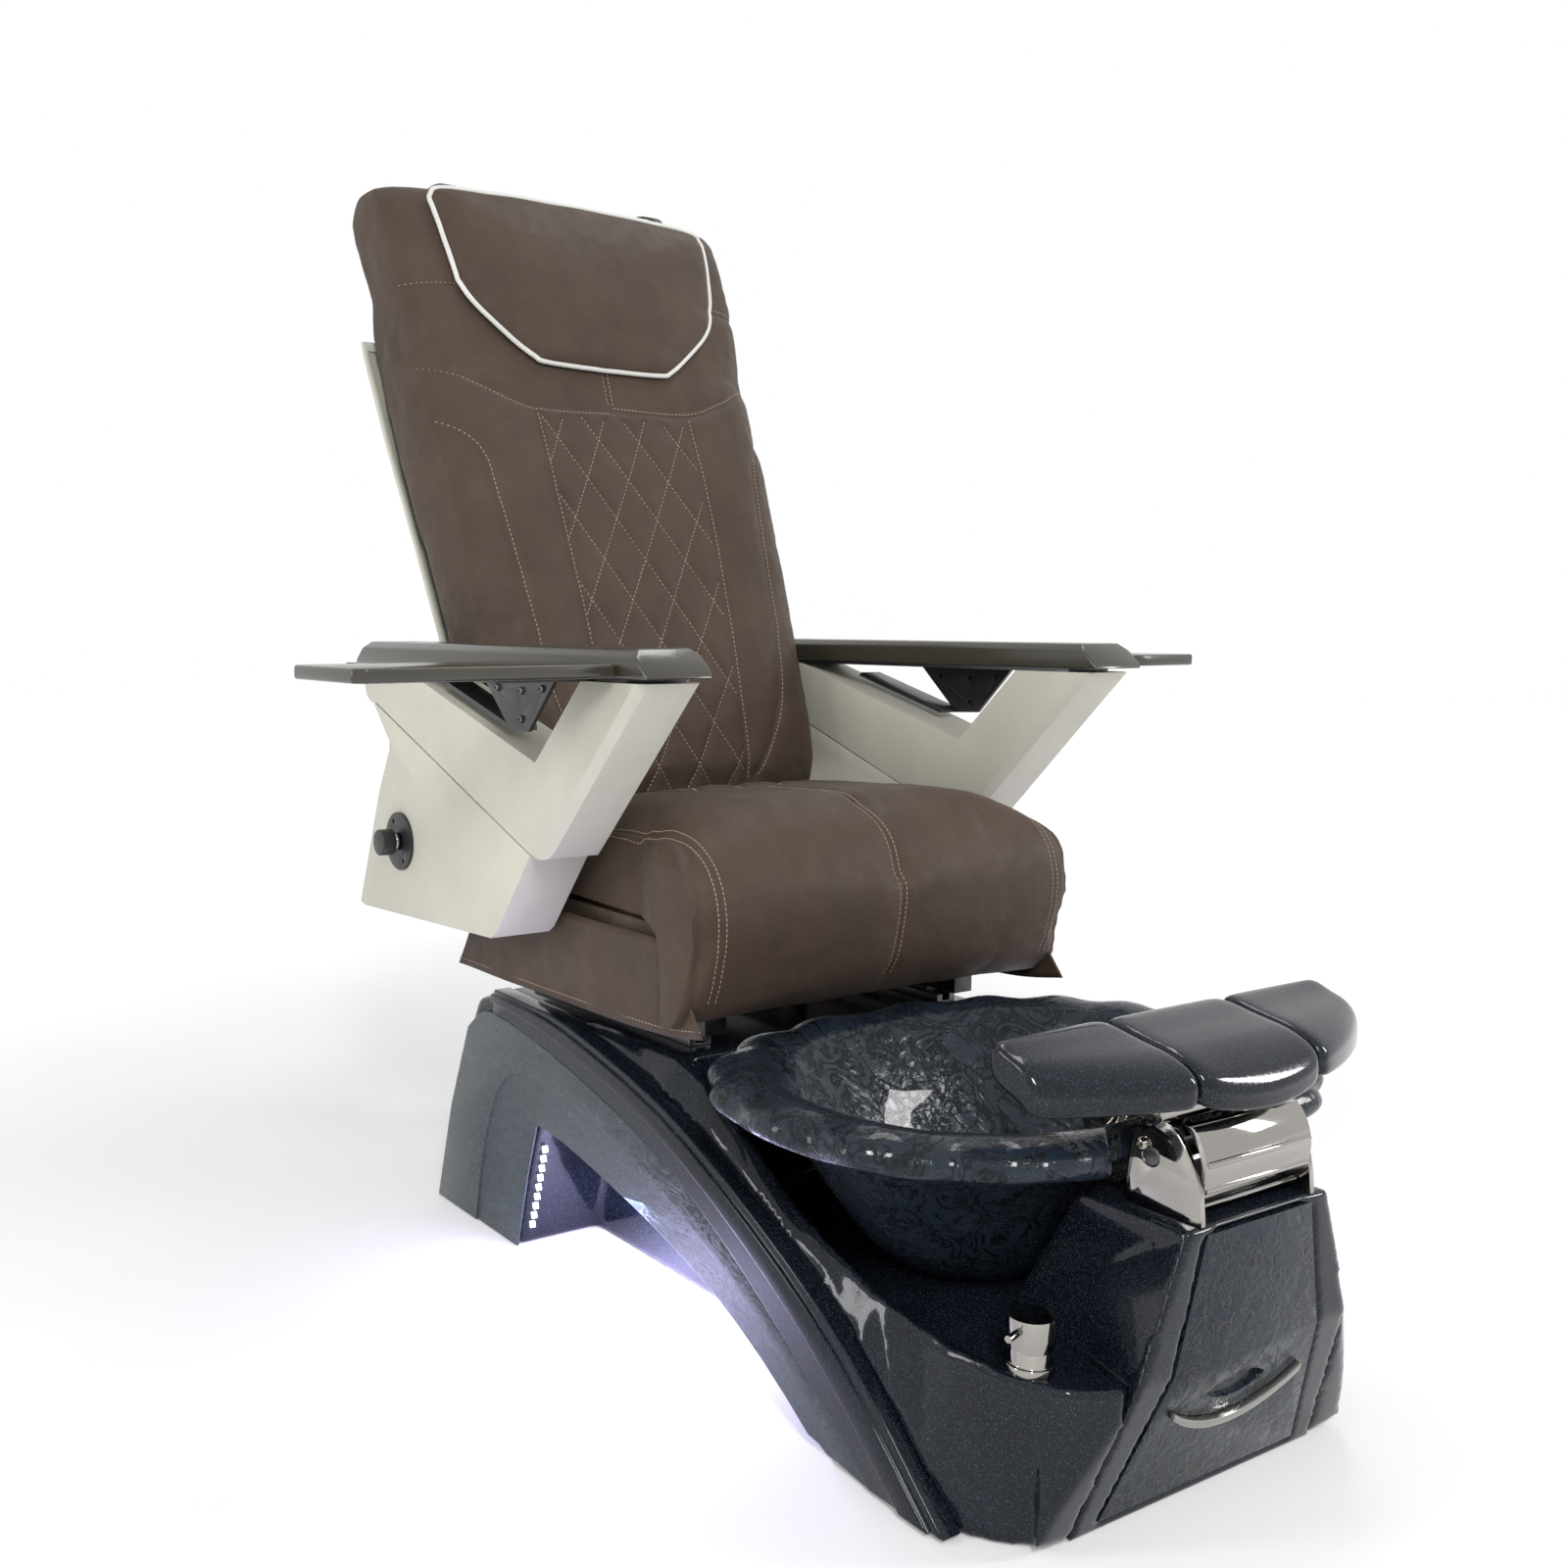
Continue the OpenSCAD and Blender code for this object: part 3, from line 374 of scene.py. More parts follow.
def new_object(name, mesh, node_or_body, slot, material=None, replaces=()):
    """Links a piece, with its body, slot and material."""
    obj = bpy.data.objects.new(name, mesh)
    SCENE.collection.objects.link(obj)
    paint(mesh, material or LOOKS[slot])
    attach(obj, NODE_BODY.get(node_or_body, node_or_body))
    if replaces:
        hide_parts(*replaces)
    return obj


def from_grid(name, grid, wrap=True, caps=True):
    """Mesh from rings of points, an array of (ring, point, 3)."""
    rings, count = grid.shape[:2]
    faces = []
    for i in range(rings - 1):
        for j in range(count if wrap else count - 1):
            k = (j + 1) % count
            faces.append((i * count + j, i * count + k, (i + 1) * count + k,
                          (i + 1) * count + j))
    if caps:
        faces.append(tuple(range(count - 1, -1, -1)))
        faces.append(tuple((rings - 1) * count + j for j in range(count)))
    mesh = bpy.data.meshes.new(name)
    mesh.from_pydata([tuple(p) for p in grid.reshape(-1, 3)], [], faces)
    tidy_normals(mesh)
    return mesh


def tidy_normals(mesh):
    """Turns all faces outward and shades them smooth."""
    bm = bmesh.new()
    bm.from_mesh(mesh)
    bmesh.ops.recalc_face_normals(bm, faces=bm.faces)
    bm.to_mesh(mesh)
    bm.free()
    mesh.shade_smooth()


def baked(obj):
    """The object's mesh with its modifiers applied."""
    graph = bpy.context.evaluated_depsgraph_get()
    return bpy.data.meshes.new_from_object(obj.evaluated_get(graph))


def bake_into(obj):
    """Applies the object's modifiers."""
    mesh = baked(obj)
    obj.modifiers.clear()
    obj.data = mesh


def clean_copy(node):
    """A copy of a CAD node's mesh with its split corners welded and flat faces merged."""
    mesh = frame["nodes"][node].data.copy()
    if mesh.has_custom_normals:
        mesh.attributes.remove(mesh.attributes["custom_normal"])
    bm = bmesh.new()
    bm.from_mesh(mesh)
    bmesh.ops.remove_doubles(bm, verts=bm.verts, dist=1e-5)
    bmesh.ops.dissolve_limit(bm, angle_limit=math.radians(0.5), verts=bm.verts,
                             edges=bm.edges)
    bm.to_mesh(mesh)
    bm.free()
    return mesh


def dress(node, bevel_mm):
    """Shows a CAD node with softened edges and its material."""
    obj = new_object(node + "_visual", clean_copy(node), node, NODE_SLOT[node],
                     replaces=(node,))
    if bevel_mm:
        bevel = obj.modifiers.new("bevel", "BEVEL")
        bevel.width = bevel_mm * MM
        bevel.segments = BEVEL_SEGMENTS
        bevel.limit_method = "ANGLE"
        bevel.angle_limit = BEVEL_ANGLE
        bevel.harden_normals = False
        bake_into(obj)
    obj.data.shade_smooth()
    obj.data.set_sharp_from_angle(angle=SHARP_ANGLE)


def remesh(obj, voxel_mm, smooths):
    """Voxel remesh, then smoothing, which rounds every edge as a moulding's are."""
    modifier = obj.modifiers.new("voxels", "REMESH")
    modifier.mode = "VOXEL"
    modifier.voxel_size = voxel_mm * MM
    bake_into(obj)
    modifier = obj.modifiers.new("smooth", "SMOOTH")
    modifier.factor = SMOOTH_FACTOR
    modifier.iterations = smooths
    bake_into(obj)
    obj.data.shade_smooth()


def mould(node, voxel_mm, smooths):
    """Shows a CAD node as a moulding with rounded edges."""
    slot = NODE_SLOT[node]
    obj = new_object(node + "_visual", clean_copy(node), node, slot, replaces=(node,))
    remesh(obj, voxel_mm, smooths)
    paint(obj.data, LOOKS[slot])


def points_of(mesh):
    flat = np.empty(len(mesh.vertices) * 3)
    mesh.vertices.foreach_get("co", flat)
    return flat.reshape(-1, 3)


def normals_of(mesh):
    flat = np.empty(len(mesh.vertices) * 3)
    mesh.vertex_normals.foreach_get("vector", flat)
    return flat.reshape(-1, 3)


def set_points(mesh, points):
    mesh.vertices.foreach_set("co", points.astype(np.float32).ravel())
    mesh.update()


def inflate(obj, cap_mm):
    """Puffs a closed skin up with air pressure, moving no point further than the cap."""
    before = points_of(obj.data)
    cloth = obj.modifiers.new("air", "CLOTH")
    settings = cloth.settings
    settings.use_pressure = True
    settings.uniform_pressure_force = AIR_PRESSURE
    settings.effector_weights.gravity = 0
    settings.tension_stiffness = 14
    settings.bending_stiffness = 0.6
    settings.quality = 4
    cloth.collision_settings.use_collision = False
    cloth.collision_settings.use_self_collision = False
    for number in range(1, AIR_FRAMES + 1):
        SCENE.frame_set(number)
    after = points_of(baked(obj))
    obj.modifiers.clear()
    SCENE.frame_set(1)
    move = after - before
    length = np.linalg.norm(move, axis=1, keepdims=True) + 1e-9
    cap = cap_mm * MM
    move *= np.tanh(length / cap) * cap / length
    set_points(obj.data, before + move)


def shrink(obj, millimetres):
    """Moves every point in along its normal."""
    set_points(obj.data, points_of(obj.data) - normals_of(obj.data) * millimetres * MM)


def subdivide(obj):
    modifier = obj.modifiers.new("finer", "SUBSURF")
    modifier.levels = 1
    modifier.render_levels = 1
    bake_into(obj)
    obj.data.shade_smooth()


def cushion(name, node, body, smooths, air_mm):
    obj = new_object(name, clean_copy(node), body, "leatherette", replaces=(node,))
    remesh(obj, CUSHION_VOXEL_MM, smooths)
    shrink(obj, CUSHION_INSET_MM)
    inflate(obj, air_mm)
    subdivide(obj)
    return obj


def rising(value, start, length):
    """Zero up to the start, then growing to one over the length."""
    return np.clip((value - start) / length, 0, 1)


def falling(value, end, length):
    """One at first, shrinking to zero over the length before the end."""
    return np.clip((end - value) / length, 0, 1)


def groove(distance, depth_mm, width):
    """Depth of a soft groove at a distance from its line."""
    return depth_mm * np.exp(-distance / width)


def line_distance(px, py, line):
    """Distance of points to a polyline, all in the same plane."""
    best = np.full(px.shape, 9.0)
    for (ax, ay), (bx, by) in zip(line, line[1:]):
        dx, dy = bx - ax, by - ay
        t = np.clip(((px - ax) * dx + (py - ay) * dy) / (dx * dx + dy * dy), 0, 1)
        best = np.minimum(best, np.hypot(px - ax - t * dx, py - ay - t * dy))
    return best


def in_metres(line):
    return [(a * MM, b * MM) for a, b in line]


def along(line, pitch):
    """Points at an even pitch along a polyline."""
    points = np.array(line, dtype=float)
    steps = np.linalg.norm(np.diff(points, axis=0), axis=1)
    total = np.concatenate([[0], np.cumsum(steps)])
    places = np.arange(pitch / 2, total[-1], pitch)
    return np.stack([np.interp(places, total, points[:, k])
                     for k in range(points.shape[1])], axis=1)


def tree_of(obj):
    """The object's faces, ready for rays."""
    mesh = obj.data
    return BVHTree.FromPolygons([v.co for v in mesh.vertices],
                                [tuple(p.vertices) for p in mesh.polygons])


def cast(tree, origin, way):
    """The place that a ray hits, and the normal there."""
    place, normal, _, _ = tree.ray_cast(Vector(origin), Vector(way))
    return place, normal


# Half length, half width and height of a stitch, and how far it stands off the leather
STITCH = (2.6 * MM, 0.75 * MM, 0.55 * MM)
STITCH_LIFT = 0.0003
STITCH_PITCH = 0.0066
# Hits further apart than this are on different folds and get no stitch
STITCH_REACH = 0.02


def stitch_run(hits, parts):
    """Adds a stitch between each pair of neighbouring (place, normal) hits."""
    for (a, na), (b, nb) in zip(hits, hits[1:]):
        if a is None or b is None or (b - a).length > STITCH_REACH:
            continue
        middle, normal = (a + b) / 2, (na + nb).normalized()
        ahead = (b - a).normalized()
        across = normal.cross(ahead).normalized()
        parts.append((middle + normal * STITCH_LIFT, ahead, across, normal))


def stitch_mesh(name, parts):
    """One mesh of lens-shaped stitches."""
    verts, faces = [], []
    half, wide, high = STITCH
    shape = ((-1, 0, -0.4), (-0.4, -1, 0), (0.4, -1, 0), (1, 0, -0.4), (0.4, 1, 0),
             (-0.4, 1, 0), (-0.35, 0, 1), (0.35, 0, 1))
    sides = ((0, 1, 6), (1, 2, 7, 6), (2, 3, 7), (3, 4, 7), (4, 5, 6, 7), (5, 0, 6))
    for middle, ahead, across, normal in parts:
        first = len(verts)
        for a, b, c in shape:
            verts.append(middle + ahead * (a * half) + across * (b * wide)
                         + normal * (c * high))
        faces.extend(tuple(first + i for i in side) for side in sides)
    mesh = bpy.data.meshes.new(name)
    mesh.from_pydata([tuple(v) for v in verts], [], faces)
    mesh.shade_smooth()
    return mesh


def tube(name, path, radius, body, slot, material=None, closed=False, sides=12):
    """Round tube along points."""
    path = [Vector(p) for p in path]
    count = len(path)
    rings = []
    normal = None
    for i, here in enumerate(path):
        ahead = path[(i + 1) % count] if closed or i < count - 1 else here
        behind = path[i - 1] if closed or i > 0 else here
        way = (ahead - behind).normalized()
        if normal is None:
            normal = way.orthogonal().normalized()
        normal = (normal - way * normal.dot(way)).normalized()
        other = way.cross(normal)
        rings.append([here + normal * (radius * math.cos(t)) + other * (radius * math.sin(t))
                      for t in (2 * math.pi * k / sides for k in range(sides))])
    if closed:
        rings.append(rings[0])
    mesh = from_grid(name, np.array(rings), True, not closed)
    if closed:
        bm = bmesh.new()
        bm.from_mesh(mesh)
        bmesh.ops.remove_doubles(bm, verts=bm.verts, dist=1e-6)
        bm.to_mesh(mesh)
        bm.free()
        mesh.shade_smooth()
    new_object(name, mesh, body, slot, material)


def smooth_line(points, steps=8, closed=False):
    """Catmull-Rom curve through points."""
    p = np.array(points, dtype=float)
    count = len(p)
    out = []
    for i in range(count if closed else count - 1):
        if closed:
            a, b, c, d = (p[(i + k) % count] for k in (-1, 0, 1, 2))
        else:
            a, b, c, d = p[max(i - 1, 0)], p[i], p[i + 1], p[min(i + 2, count - 1)]
        for t in np.arange(steps) / steps:
            out.append(0.5 * (2 * b + (c - a) * t + (2 * a - 5 * b + 4 * c - d) * t ** 2
                              + (3 * b - a - 3 * c + d) * t ** 3))
    if not closed:
        out.append(p[-1])
    return np.array(out)


def wave(points, scale, seed):
    """Smooth noise at points, from -1 to 1."""
    offset = Vector((seed, seed * 1.7, -seed))
    return np.array([noise.noise(Vector(p) * scale + offset) for p in points])


# ---------------------------------------------------------------- backrest

# Seams on the front of the backrest, as (x, z) in millimetres on the sitter's left
YOKE_SEAM = [(0, 1168), (137, 1167), (210, 1190), (262, 1212), (318, 1222)]
SHOULDER_SEAM = [(195, 1347), (262, 1346), (328, 1338)]
PANEL_SEAM = [(137, 1167), (134, 1000), (127, 847), (121, 620)]
BOLSTER_SEAM = [(318, 1142), (272, 1124), (244, 1094), (234, 1040), (224, 950), (212, 830),
                (198, 740), (166, 672), (136, 625)]
CENTRE_SEAM = [(0, 1168), (0, 1250)]
DIAMOND_W = 72 * MM
DIAMOND_H = 118 * MM
PANEL_BOTTOM = 0.60
PANEL_TOP = 1160 * MM
QUILT_STEP = 0.004
# Stitches run at this distance on either side of a seam
BACK_STITCH_OFF = 0.0045
# The part of the cushion's rear that is drawn in, because the back shell covers it
COVERED_HALF = 0.235
COVERED_TOP = 1.25
COVERED_BY = 0.009
# Rays onto the backrest start here
RAY_Y = -1.5


def panel_half(z):
    """Half the width of the quilted panel at a height."""
    return np.interp(z, [0.620, 0.847, 1.0, 1.167], [0.121, 0.127, 0.134, 0.137])


def diamond_distance(x, z):
    """Distance to the nearest quilting line."""
    near = 1 / math.hypot(1 / DIAMOND_W, 1 / DIAMOND_H)
    best = np.full(np.shape(x), 9.0)
    for sign in (1, -1):
        phase = x / DIAMOND_W + sign * z / DIAMOND_H
        best = np.minimum(best, np.abs(phase - np.round(phase)) * near)
    return best


def both_sides(line):
    """A seam in metres, on the sitter's left and mirrored to the right."""
    return [in_metres(line), [(-a, b) for a, b in in_metres(line)]]


def make_backrest():
    obj = cushion("backrest", "back_cushion", "back", 4, 10)
    points, normals = points_of(obj.data), normals_of(obj.data)
    x, z = points[:, 0], points[:, 2]
    depth = np.zeros(len(points))
    for line in (YOKE_SEAM, SHOULDER_SEAM, PANEL_SEAM, BOLSTER_SEAM):
        for side in both_sides(line):
            depth = np.maximum(depth, groove(line_distance(x, z, side), 5.0, 0.0085))
    centre = line_distance(x, z, in_metres(CENTRE_SEAM))
    depth = np.maximum(depth, groove(centre, 3.2, 0.006))
    inside = (np.abs(x) < panel_half(z)) & (z < PANEL_TOP) & (z > PANEL_BOTTOM)
    quilt = groove(diamond_distance(x, z), 4.6, 0.0085)
    depth = np.where(inside, np.maximum(depth, quilt), depth)
    folds = wave(points * np.array([1.0, 1.0, 0.45]), 22, 3.1) * 1.6
    folds += wave(points * np.array([1.0, 1.0, 0.7]), 60, 8.2) * 0.5
    facing = rising(-normals[:, 1], 0.15, 0.4)
    outer = rising(np.abs(x), panel_half(z), 0.05)
    move = (-depth * facing + folds * outer) * MM
    points = points + normals * move[:, None]
    covered = (np.abs(x) < COVERED_HALF) & (normals[:, 1] > 0.4) & (z < COVERED_TOP)
    points[covered, 1] -= COVERED_BY
    set_points(obj.data, points)
    paint(obj.data, LOOKS["leatherette"])
    return obj


def front_hits(tree, line):
    """Places on the backrest under a line of (x, z)."""
    return [cast(tree, (x, RAY_Y, z), (0, 1, 0)) for x, z in along(line, STITCH_PITCH)]


def beside(line, offset):
    """The polyline moved sideways."""
    p = np.array(line, dtype=float)
    way = np.gradient(p, axis=0)
    way /= np.linalg.norm(way, axis=1, keepdims=True)
    return [tuple(q) for q in p + np.stack([-way[:, 1], way[:, 0]], axis=1) * offset]


def quilt_lines():
    """The panel's crossing lines, cut at its edges."""
    lines = []
    for sign in (1, -1):
        for k in range(-20, 21):
            line = []
            for z in np.arange(PANEL_BOTTOM, PANEL_TOP, QUILT_STEP):
                x = (k - sign * z / DIAMOND_H) * DIAMOND_W
                if abs(x) < panel_half(z) - 0.002:
                    line.append((x, z))
            if len(line) > 3:
                lines.append(line)
    return lines


def make_back_stitches(backrest):
    tree = tree_of(backrest)
    parts = []
    for line in (YOKE_SEAM, SHOULDER_SEAM, BOLSTER_SEAM, PANEL_SEAM):
        for side in both_sides(line):
            curve = smooth_line(side)
            stitch_run(front_hits(tree, beside(curve, BACK_STITCH_OFF)), parts)
    for x in (-BACK_STITCH_OFF, BACK_STITCH_OFF):
        stitch_run(front_hits(tree, [(x, 1.172), (x, 1.236)]), parts)
    for line in quilt_lines():
        stitch_run(front_hits(tree, line), parts)
    mesh = stitch_mesh("back_stitches", parts)
    new_object("back_stitches", mesh, "back", "leatherette", THREAD)


# ---------------------------------------------------------------- head pillow

# Outline of the head pillow as (x, z) in millimetres, clockwise from the top left
PILLOW_OUTLINE = [(-222, 1484), (-110, 1487), (0, 1488), (110, 1487), (222, 1484),
                  (243, 1472), (244, 1452), (236, 1396), (225, 1342), (206, 1308),
                  (160, 1266), (122, 1238), (100, 1231), (0, 1229), (-100, 1231),
                  (-122, 1238), (-160, 1266), (-206, 1308), (-225, 1342), (-236, 1396),
                  (-244, 1452), (-243, 1472)]
PILLOW_CENTRE = (0.0, 1.375)
PILLOW_T = 30 * MM
PILLOW_TILT = math.radians(1.2)
# The pillow follows the backrest up to this height and leans on backwards from there
PILLOW_LEAN_TO = 1.468
PILLOW_LEAN = 0.3
# Steps of the pillow's face from its middle to its rim, as parts of the outline
PILLOW_STEPS = (0.02, 0.2, 0.38, 0.55, 0.7, 0.8, 0.88, 0.94, 0.975, 0.995)
PILLOW_OFF = 0.006
PIPING_OFF = 0.0075
PIPING_RADIUS = 0.0038
STRAP_WIDTH = 0.022
STRAP_THICK = 0.0025


def make_pillow(backrest):
    tree = tree_of(backrest)
    outline = smooth_line(in_metres(PILLOW_OUTLINE), 6, True)
    centre = np.array(PILLOW_CENTRE)
    turn = np.array([[math.cos(PILLOW_TILT), math.sin(PILLOW_TILT)],
                     [-math.sin(PILLOW_TILT), math.cos(PILLOW_TILT)]])
    outline = (outline - centre) @ turn.T + centre

    def surface(x, z):
        """The backrest's face, carried on past its top."""
        hit, _ = cast(tree, (x, RAY_Y, min(z, PILLOW_LEAN_TO)), (0, 1, 0))
        return (hit.y if hit else 0.55) + max(0.0, z - PILLOW_LEAN_TO) * PILLOW_LEAN

    rings = []
    for r in PILLOW_STEPS:
        ring = centre + (outline - centre) * r
        bulge = PILLOW_T * (1 - r ** 3.2) ** 0.62
        rings.append([(x, surface(x, z) - PILLOW_OFF - bulge, z) for x, z in ring])
    for r, off in ((0.98, 0.0015), (0.5, 0.001)):
        ring = centre + (outline - centre) * r
        rings.append([(x, surface(x, z) - off, z) for x, z in ring])
    mesh = from_grid("pillow", np.array(rings))
    pillow = new_object("pillow", mesh, "back", "leatherette", replaces=("head_pillow",))
    subdivide(pillow)
    points = points_of(pillow.data)
    normals = normals_of(pillow.data)
    move = wave(points, 16, 5.5) * 1.3 * MM
    set_points(pillow.data, points + normals * move[:, None])
    rim = [(x, surface(x, z) - PIPING_OFF, z) for x, z in outline]
    tube("pillow_piping", rim, PIPING_RADIUS, "back", "leatherette", PIPING, closed=True)


def make_straps():
    """Elastic straps that hold the pillow, over the top of the backrest."""
    for x in (-0.185, 0.185):
        path = smooth_line([(x, 0.566, 1.478), (x, 0.590, 1.505), (x, 0.640, 1.5125),
                            (x, 0.682, 1.494), (x, 0.700, 1.448), (x, 0.682, 1.400)], 6)
        strap(f"pillow_strap_{'left' if x > 0 else 'right'}", path)


def strap(name, path):
    """Flat band along a path in a plane of constant x."""
    rings = []
    for i, here in enumerate(path):
        way = path[min(i + 1, len(path) - 1)] - path[max(i - 1, 0)]
        way /= np.linalg.norm(way)
        out = np.array([0, -way[2], way[1]])
        rings.append([here + np.array([s * STRAP_WIDTH / 2, 0, 0]) + out * t * STRAP_THICK / 2
                      for s, t in ((-1, -1), (1, -1), (1, 1), (-1, 1))])
    new_object(name, from_grid(name, np.array(rings)), "back", "black_plastic")


# ---------------------------------------------------------------- seat

SEAT_EDGE = 268 * MM
# How far the free sides bulge, the front corners fill out and the front lip hangs down
SIDE_BULGE_MM = 26
CORNER_FILL_MM = 5
LIP_DROP_MM = 13
# The seat's front is round about this axis, as (y, z); its stitches go from one angle to
# the other in steps, in degrees up from straight ahead
SEAT_AXIS = (-0.050, 0.530)
FRONT_ARC = (-38, 92, 2.2)
QUILT_FRONT = 60 * MM
QUILT_HALF = 122 * MM
QUILT_REAR = 0.3
QUILT_STITCH_REAR = 0.215
SEAT_STITCH_OFF = 0.005
# Rays onto the seat start here
RAY_Z = 1.2
RAY_REACH = 0.6


def make_seat():
    obj = cushion("seat", "seat_cushion", "carriage", 6, 9)
    points, normals = points_of(obj.data), normals_of(obj.data)
    x, y, z = points.T
    wide = np.abs(x)
    depth = groove(wide, 3.6, 0.006) * (y < QUILT_FRONT)
    depth = np.maximum(depth, groove(np.abs(wide - SEAT_EDGE), 4.0, 0.006))
    border = line_distance(wide, y, [(0, QUILT_FRONT), (QUILT_HALF, QUILT_FRONT),
                                     (QUILT_HALF, QUILT_REAR)])
    depth = np.maximum(depth, groove(border, 4.0, 0.007))
    quilted = (wide < QUILT_HALF) & (y > QUILT_FRONT)
    quilt = groove(diamond_distance(x, y), 4.2, 0.008)
    depth = np.where(quilted, np.maximum(depth, quilt), depth)
    folds = wave(points, 14, 1.3) * 2.0 + wave(points, 45, 6.4) * 0.6
    upper = rising(normals[:, 2] - normals[:, 1], -0.3, 0.5)
    move = (-depth * upper + folds * 0.8) * MM
    points = points + normals * move[:, None]
    free = falling(y, -0.05, 0.06) * rising(wide, 0.20, 0.07) * falling(z, 0.62, 0.04)
    points[:, 0] += np.sign(x) * SIDE_BULGE_MM * free * MM
    corner = rising(wide, 0.18, 0.09) * falling(y, -0.12, 0.05)
    points[:, 1] -= CORNER_FILL_MM * corner * falling(z, 0.62, 0.06) * MM
    lip = falling(z, 0.47, 0.06) * falling(y, -0.09, 0.02)
    points[:, 2] -= LIP_DROP_MM * lip * MM
    set_points(obj.data, points)
    paint(obj.data, LOOKS["leatherette"])
    return obj


def round_hits(tree, x):
    """Places on the seat's round front at one x, from under the lip up to the top."""
    hits = []
    for angle in np.arange(*FRONT_ARC):
        t = math.radians(angle)
        out = Vector((0, -math.cos(t), math.sin(t)))
        hits.append(cast(tree, Vector((x, *SEAT_AXIS)) + out * RAY_REACH, -out))
    return hits


def top_hits(tree, line):
    """Places on the seat under a line of (x, y)."""
    return [cast(tree, (x, y, RAY_Z), (0, 0, -1)) for x, y in along(line, STITCH_PITCH)]


def make_seat_stitches(seat):
    tree = tree_of(seat)
    parts = []
    front, rear = -0.05, 0.2
    for seam, end in ((0, QUILT_FRONT - 0.004), (-SEAT_EDGE, rear), (SEAT_EDGE, rear)):
        for x in (seam - SEAT_STITCH_OFF, seam + SEAT_STITCH_OFF):
            stitch_run(round_hits(tree, x), parts)
            stitch_run(top_hits(tree, [(x, front), (x, end)]), parts)
    border = [(-QUILT_HALF, QUILT_STITCH_REAR), (-QUILT_HALF, QUILT_FRONT),
              (QUILT_HALF, QUILT_FRONT), (QUILT_HALF, QUILT_STITCH_REAR)]
    stitch_run(top_hits(tree, border), parts)
    for sign in (1, -1):
        for k in range(-8, 9):
            line = [((k - sign * y / DIAMOND_H) * DIAMOND_W, y)
                    for y in np.arange(QUILT_FRONT, QUILT_STITCH_REAR, QUILT_STEP)]
            line = [p for p in line if abs(p[0]) < QUILT_HALF]
            if len(line) > 3:
                stitch_run(top_hits(tree, line), parts)
    mesh = stitch_mesh("seat_stitches", parts)
    new_object("seat_stitches", mesh, "carriage", "leatherette", THREAD)


# Side skirt under the seat, as (y, z) along its top and along its hem
SKIRT_TOP = [(-0.124, 0.492), (0.0, 0.490), (0.120, 0.488), (0.228, 0.478), (0.320, 0.462),
             (0.334, 0.440)]
SKIRT_HEM = [(-0.200, 0.392), (-0.120, 0.380), (0.020, 0.375), (0.160, 0.372),
             (0.290, 0.370), (0.378, 0.369)]
SKIRT_T = 2.5 * MM
SKIRT_X = 0.2905
SKIRT_RIPPLE = 0.0011
# The hem's stitches run this high above it, on the flap's outer face
HEM_STITCH_UP = 0.009
HEM_STITCH_X = 0.2918


def make_skirt(side):
    across, down = 64, 14
    top, hem = smooth_line(SKIRT_TOP, 12), smooth_line(SKIRT_HEM, 12)
    rows = []
    for k in np.linspace(0, 1, down):
        row = []
        for u in np.linspace(0, 1, across):
            a = [np.interp(u * (len(top) - 1), range(len(top)), top[:, j]) for j in (0, 1)]
            b = [np.interp(u * (len(hem) - 1), range(len(hem)), hem[:, j]) for j in (0, 1)]
            y, z = (a[j] + (b[j] - a[j]) * k for j in (0, 1))
            ripple = SKIRT_RIPPLE * math.sin(17 * u + 2.0 * k) * k
            row.append((side * (SKIRT_X + ripple), y, z))
        rows.append(row)
    mesh = from_grid("skirt", np.array(rows), wrap=False, caps=False)
    name = "skirt_left" if side > 0 else "skirt_right"
    obj = new_object(name, mesh, "carriage", "leatherette")
    thicken = obj.modifiers.new("thick", "SOLIDIFY")
    thicken.thickness = SKIRT_T
    thicken.offset = 0
    bake_into(obj)
    obj.data.shade_smooth()
    hits = [(Vector((side * HEM_STITCH_X, y, z + HEM_STITCH_UP)), Vector((side, 0, 0)))
            for y, z in along(hem, STITCH_PITCH)]
    parts = []
    stitch_run(hits, parts)
    mesh = stitch_mesh(name + "_stitches", parts)
    new_object(name + "_stitches", mesh, "carriage", "leatherette", THREAD)
    return obj


# ---------------------------------------------------------------- basin and pads

BASIN_N = 216
SCALLOPS = 18
BASIN_POWER = 0.86
BASIN_Y = -0.383
# What lies ahead of this line is pressed flat; it steps forward beside the cheeks
BASIN_FRONT = -0.592
FRONT_STEP = 0.060
FRONT_PRESS = 0.15
# Half width, half length, height and ripple along the basin's skin, in millimetres,
# from under the bowl over the rim to its floor
BASIN_SKIN = [(130, 78, 160, 0), (176, 102, 185, 0), (222, 132, 240, 0), (262, 158, 295, 0),
              (300, 205, 335, 0), (330, 236, 341, 2), (346, 255, 340, 5), (352, 262, 352, 6),
              (344, 254, 367, 5), (322, 234, 376, 3), (296, 214, 373, 2), (280, 196, 360, 0),
              (252, 148, 295, 0), (216, 122, 250, 0), (180, 96, 210, 0), (120, 66, 192, 0),
              (30, 30, 190, 0)]


def signed_power(value, power):
    """A power that keeps the sign, which squares off a circle's sine and cosine."""
    return np.sign(value) * np.abs(value) ** power


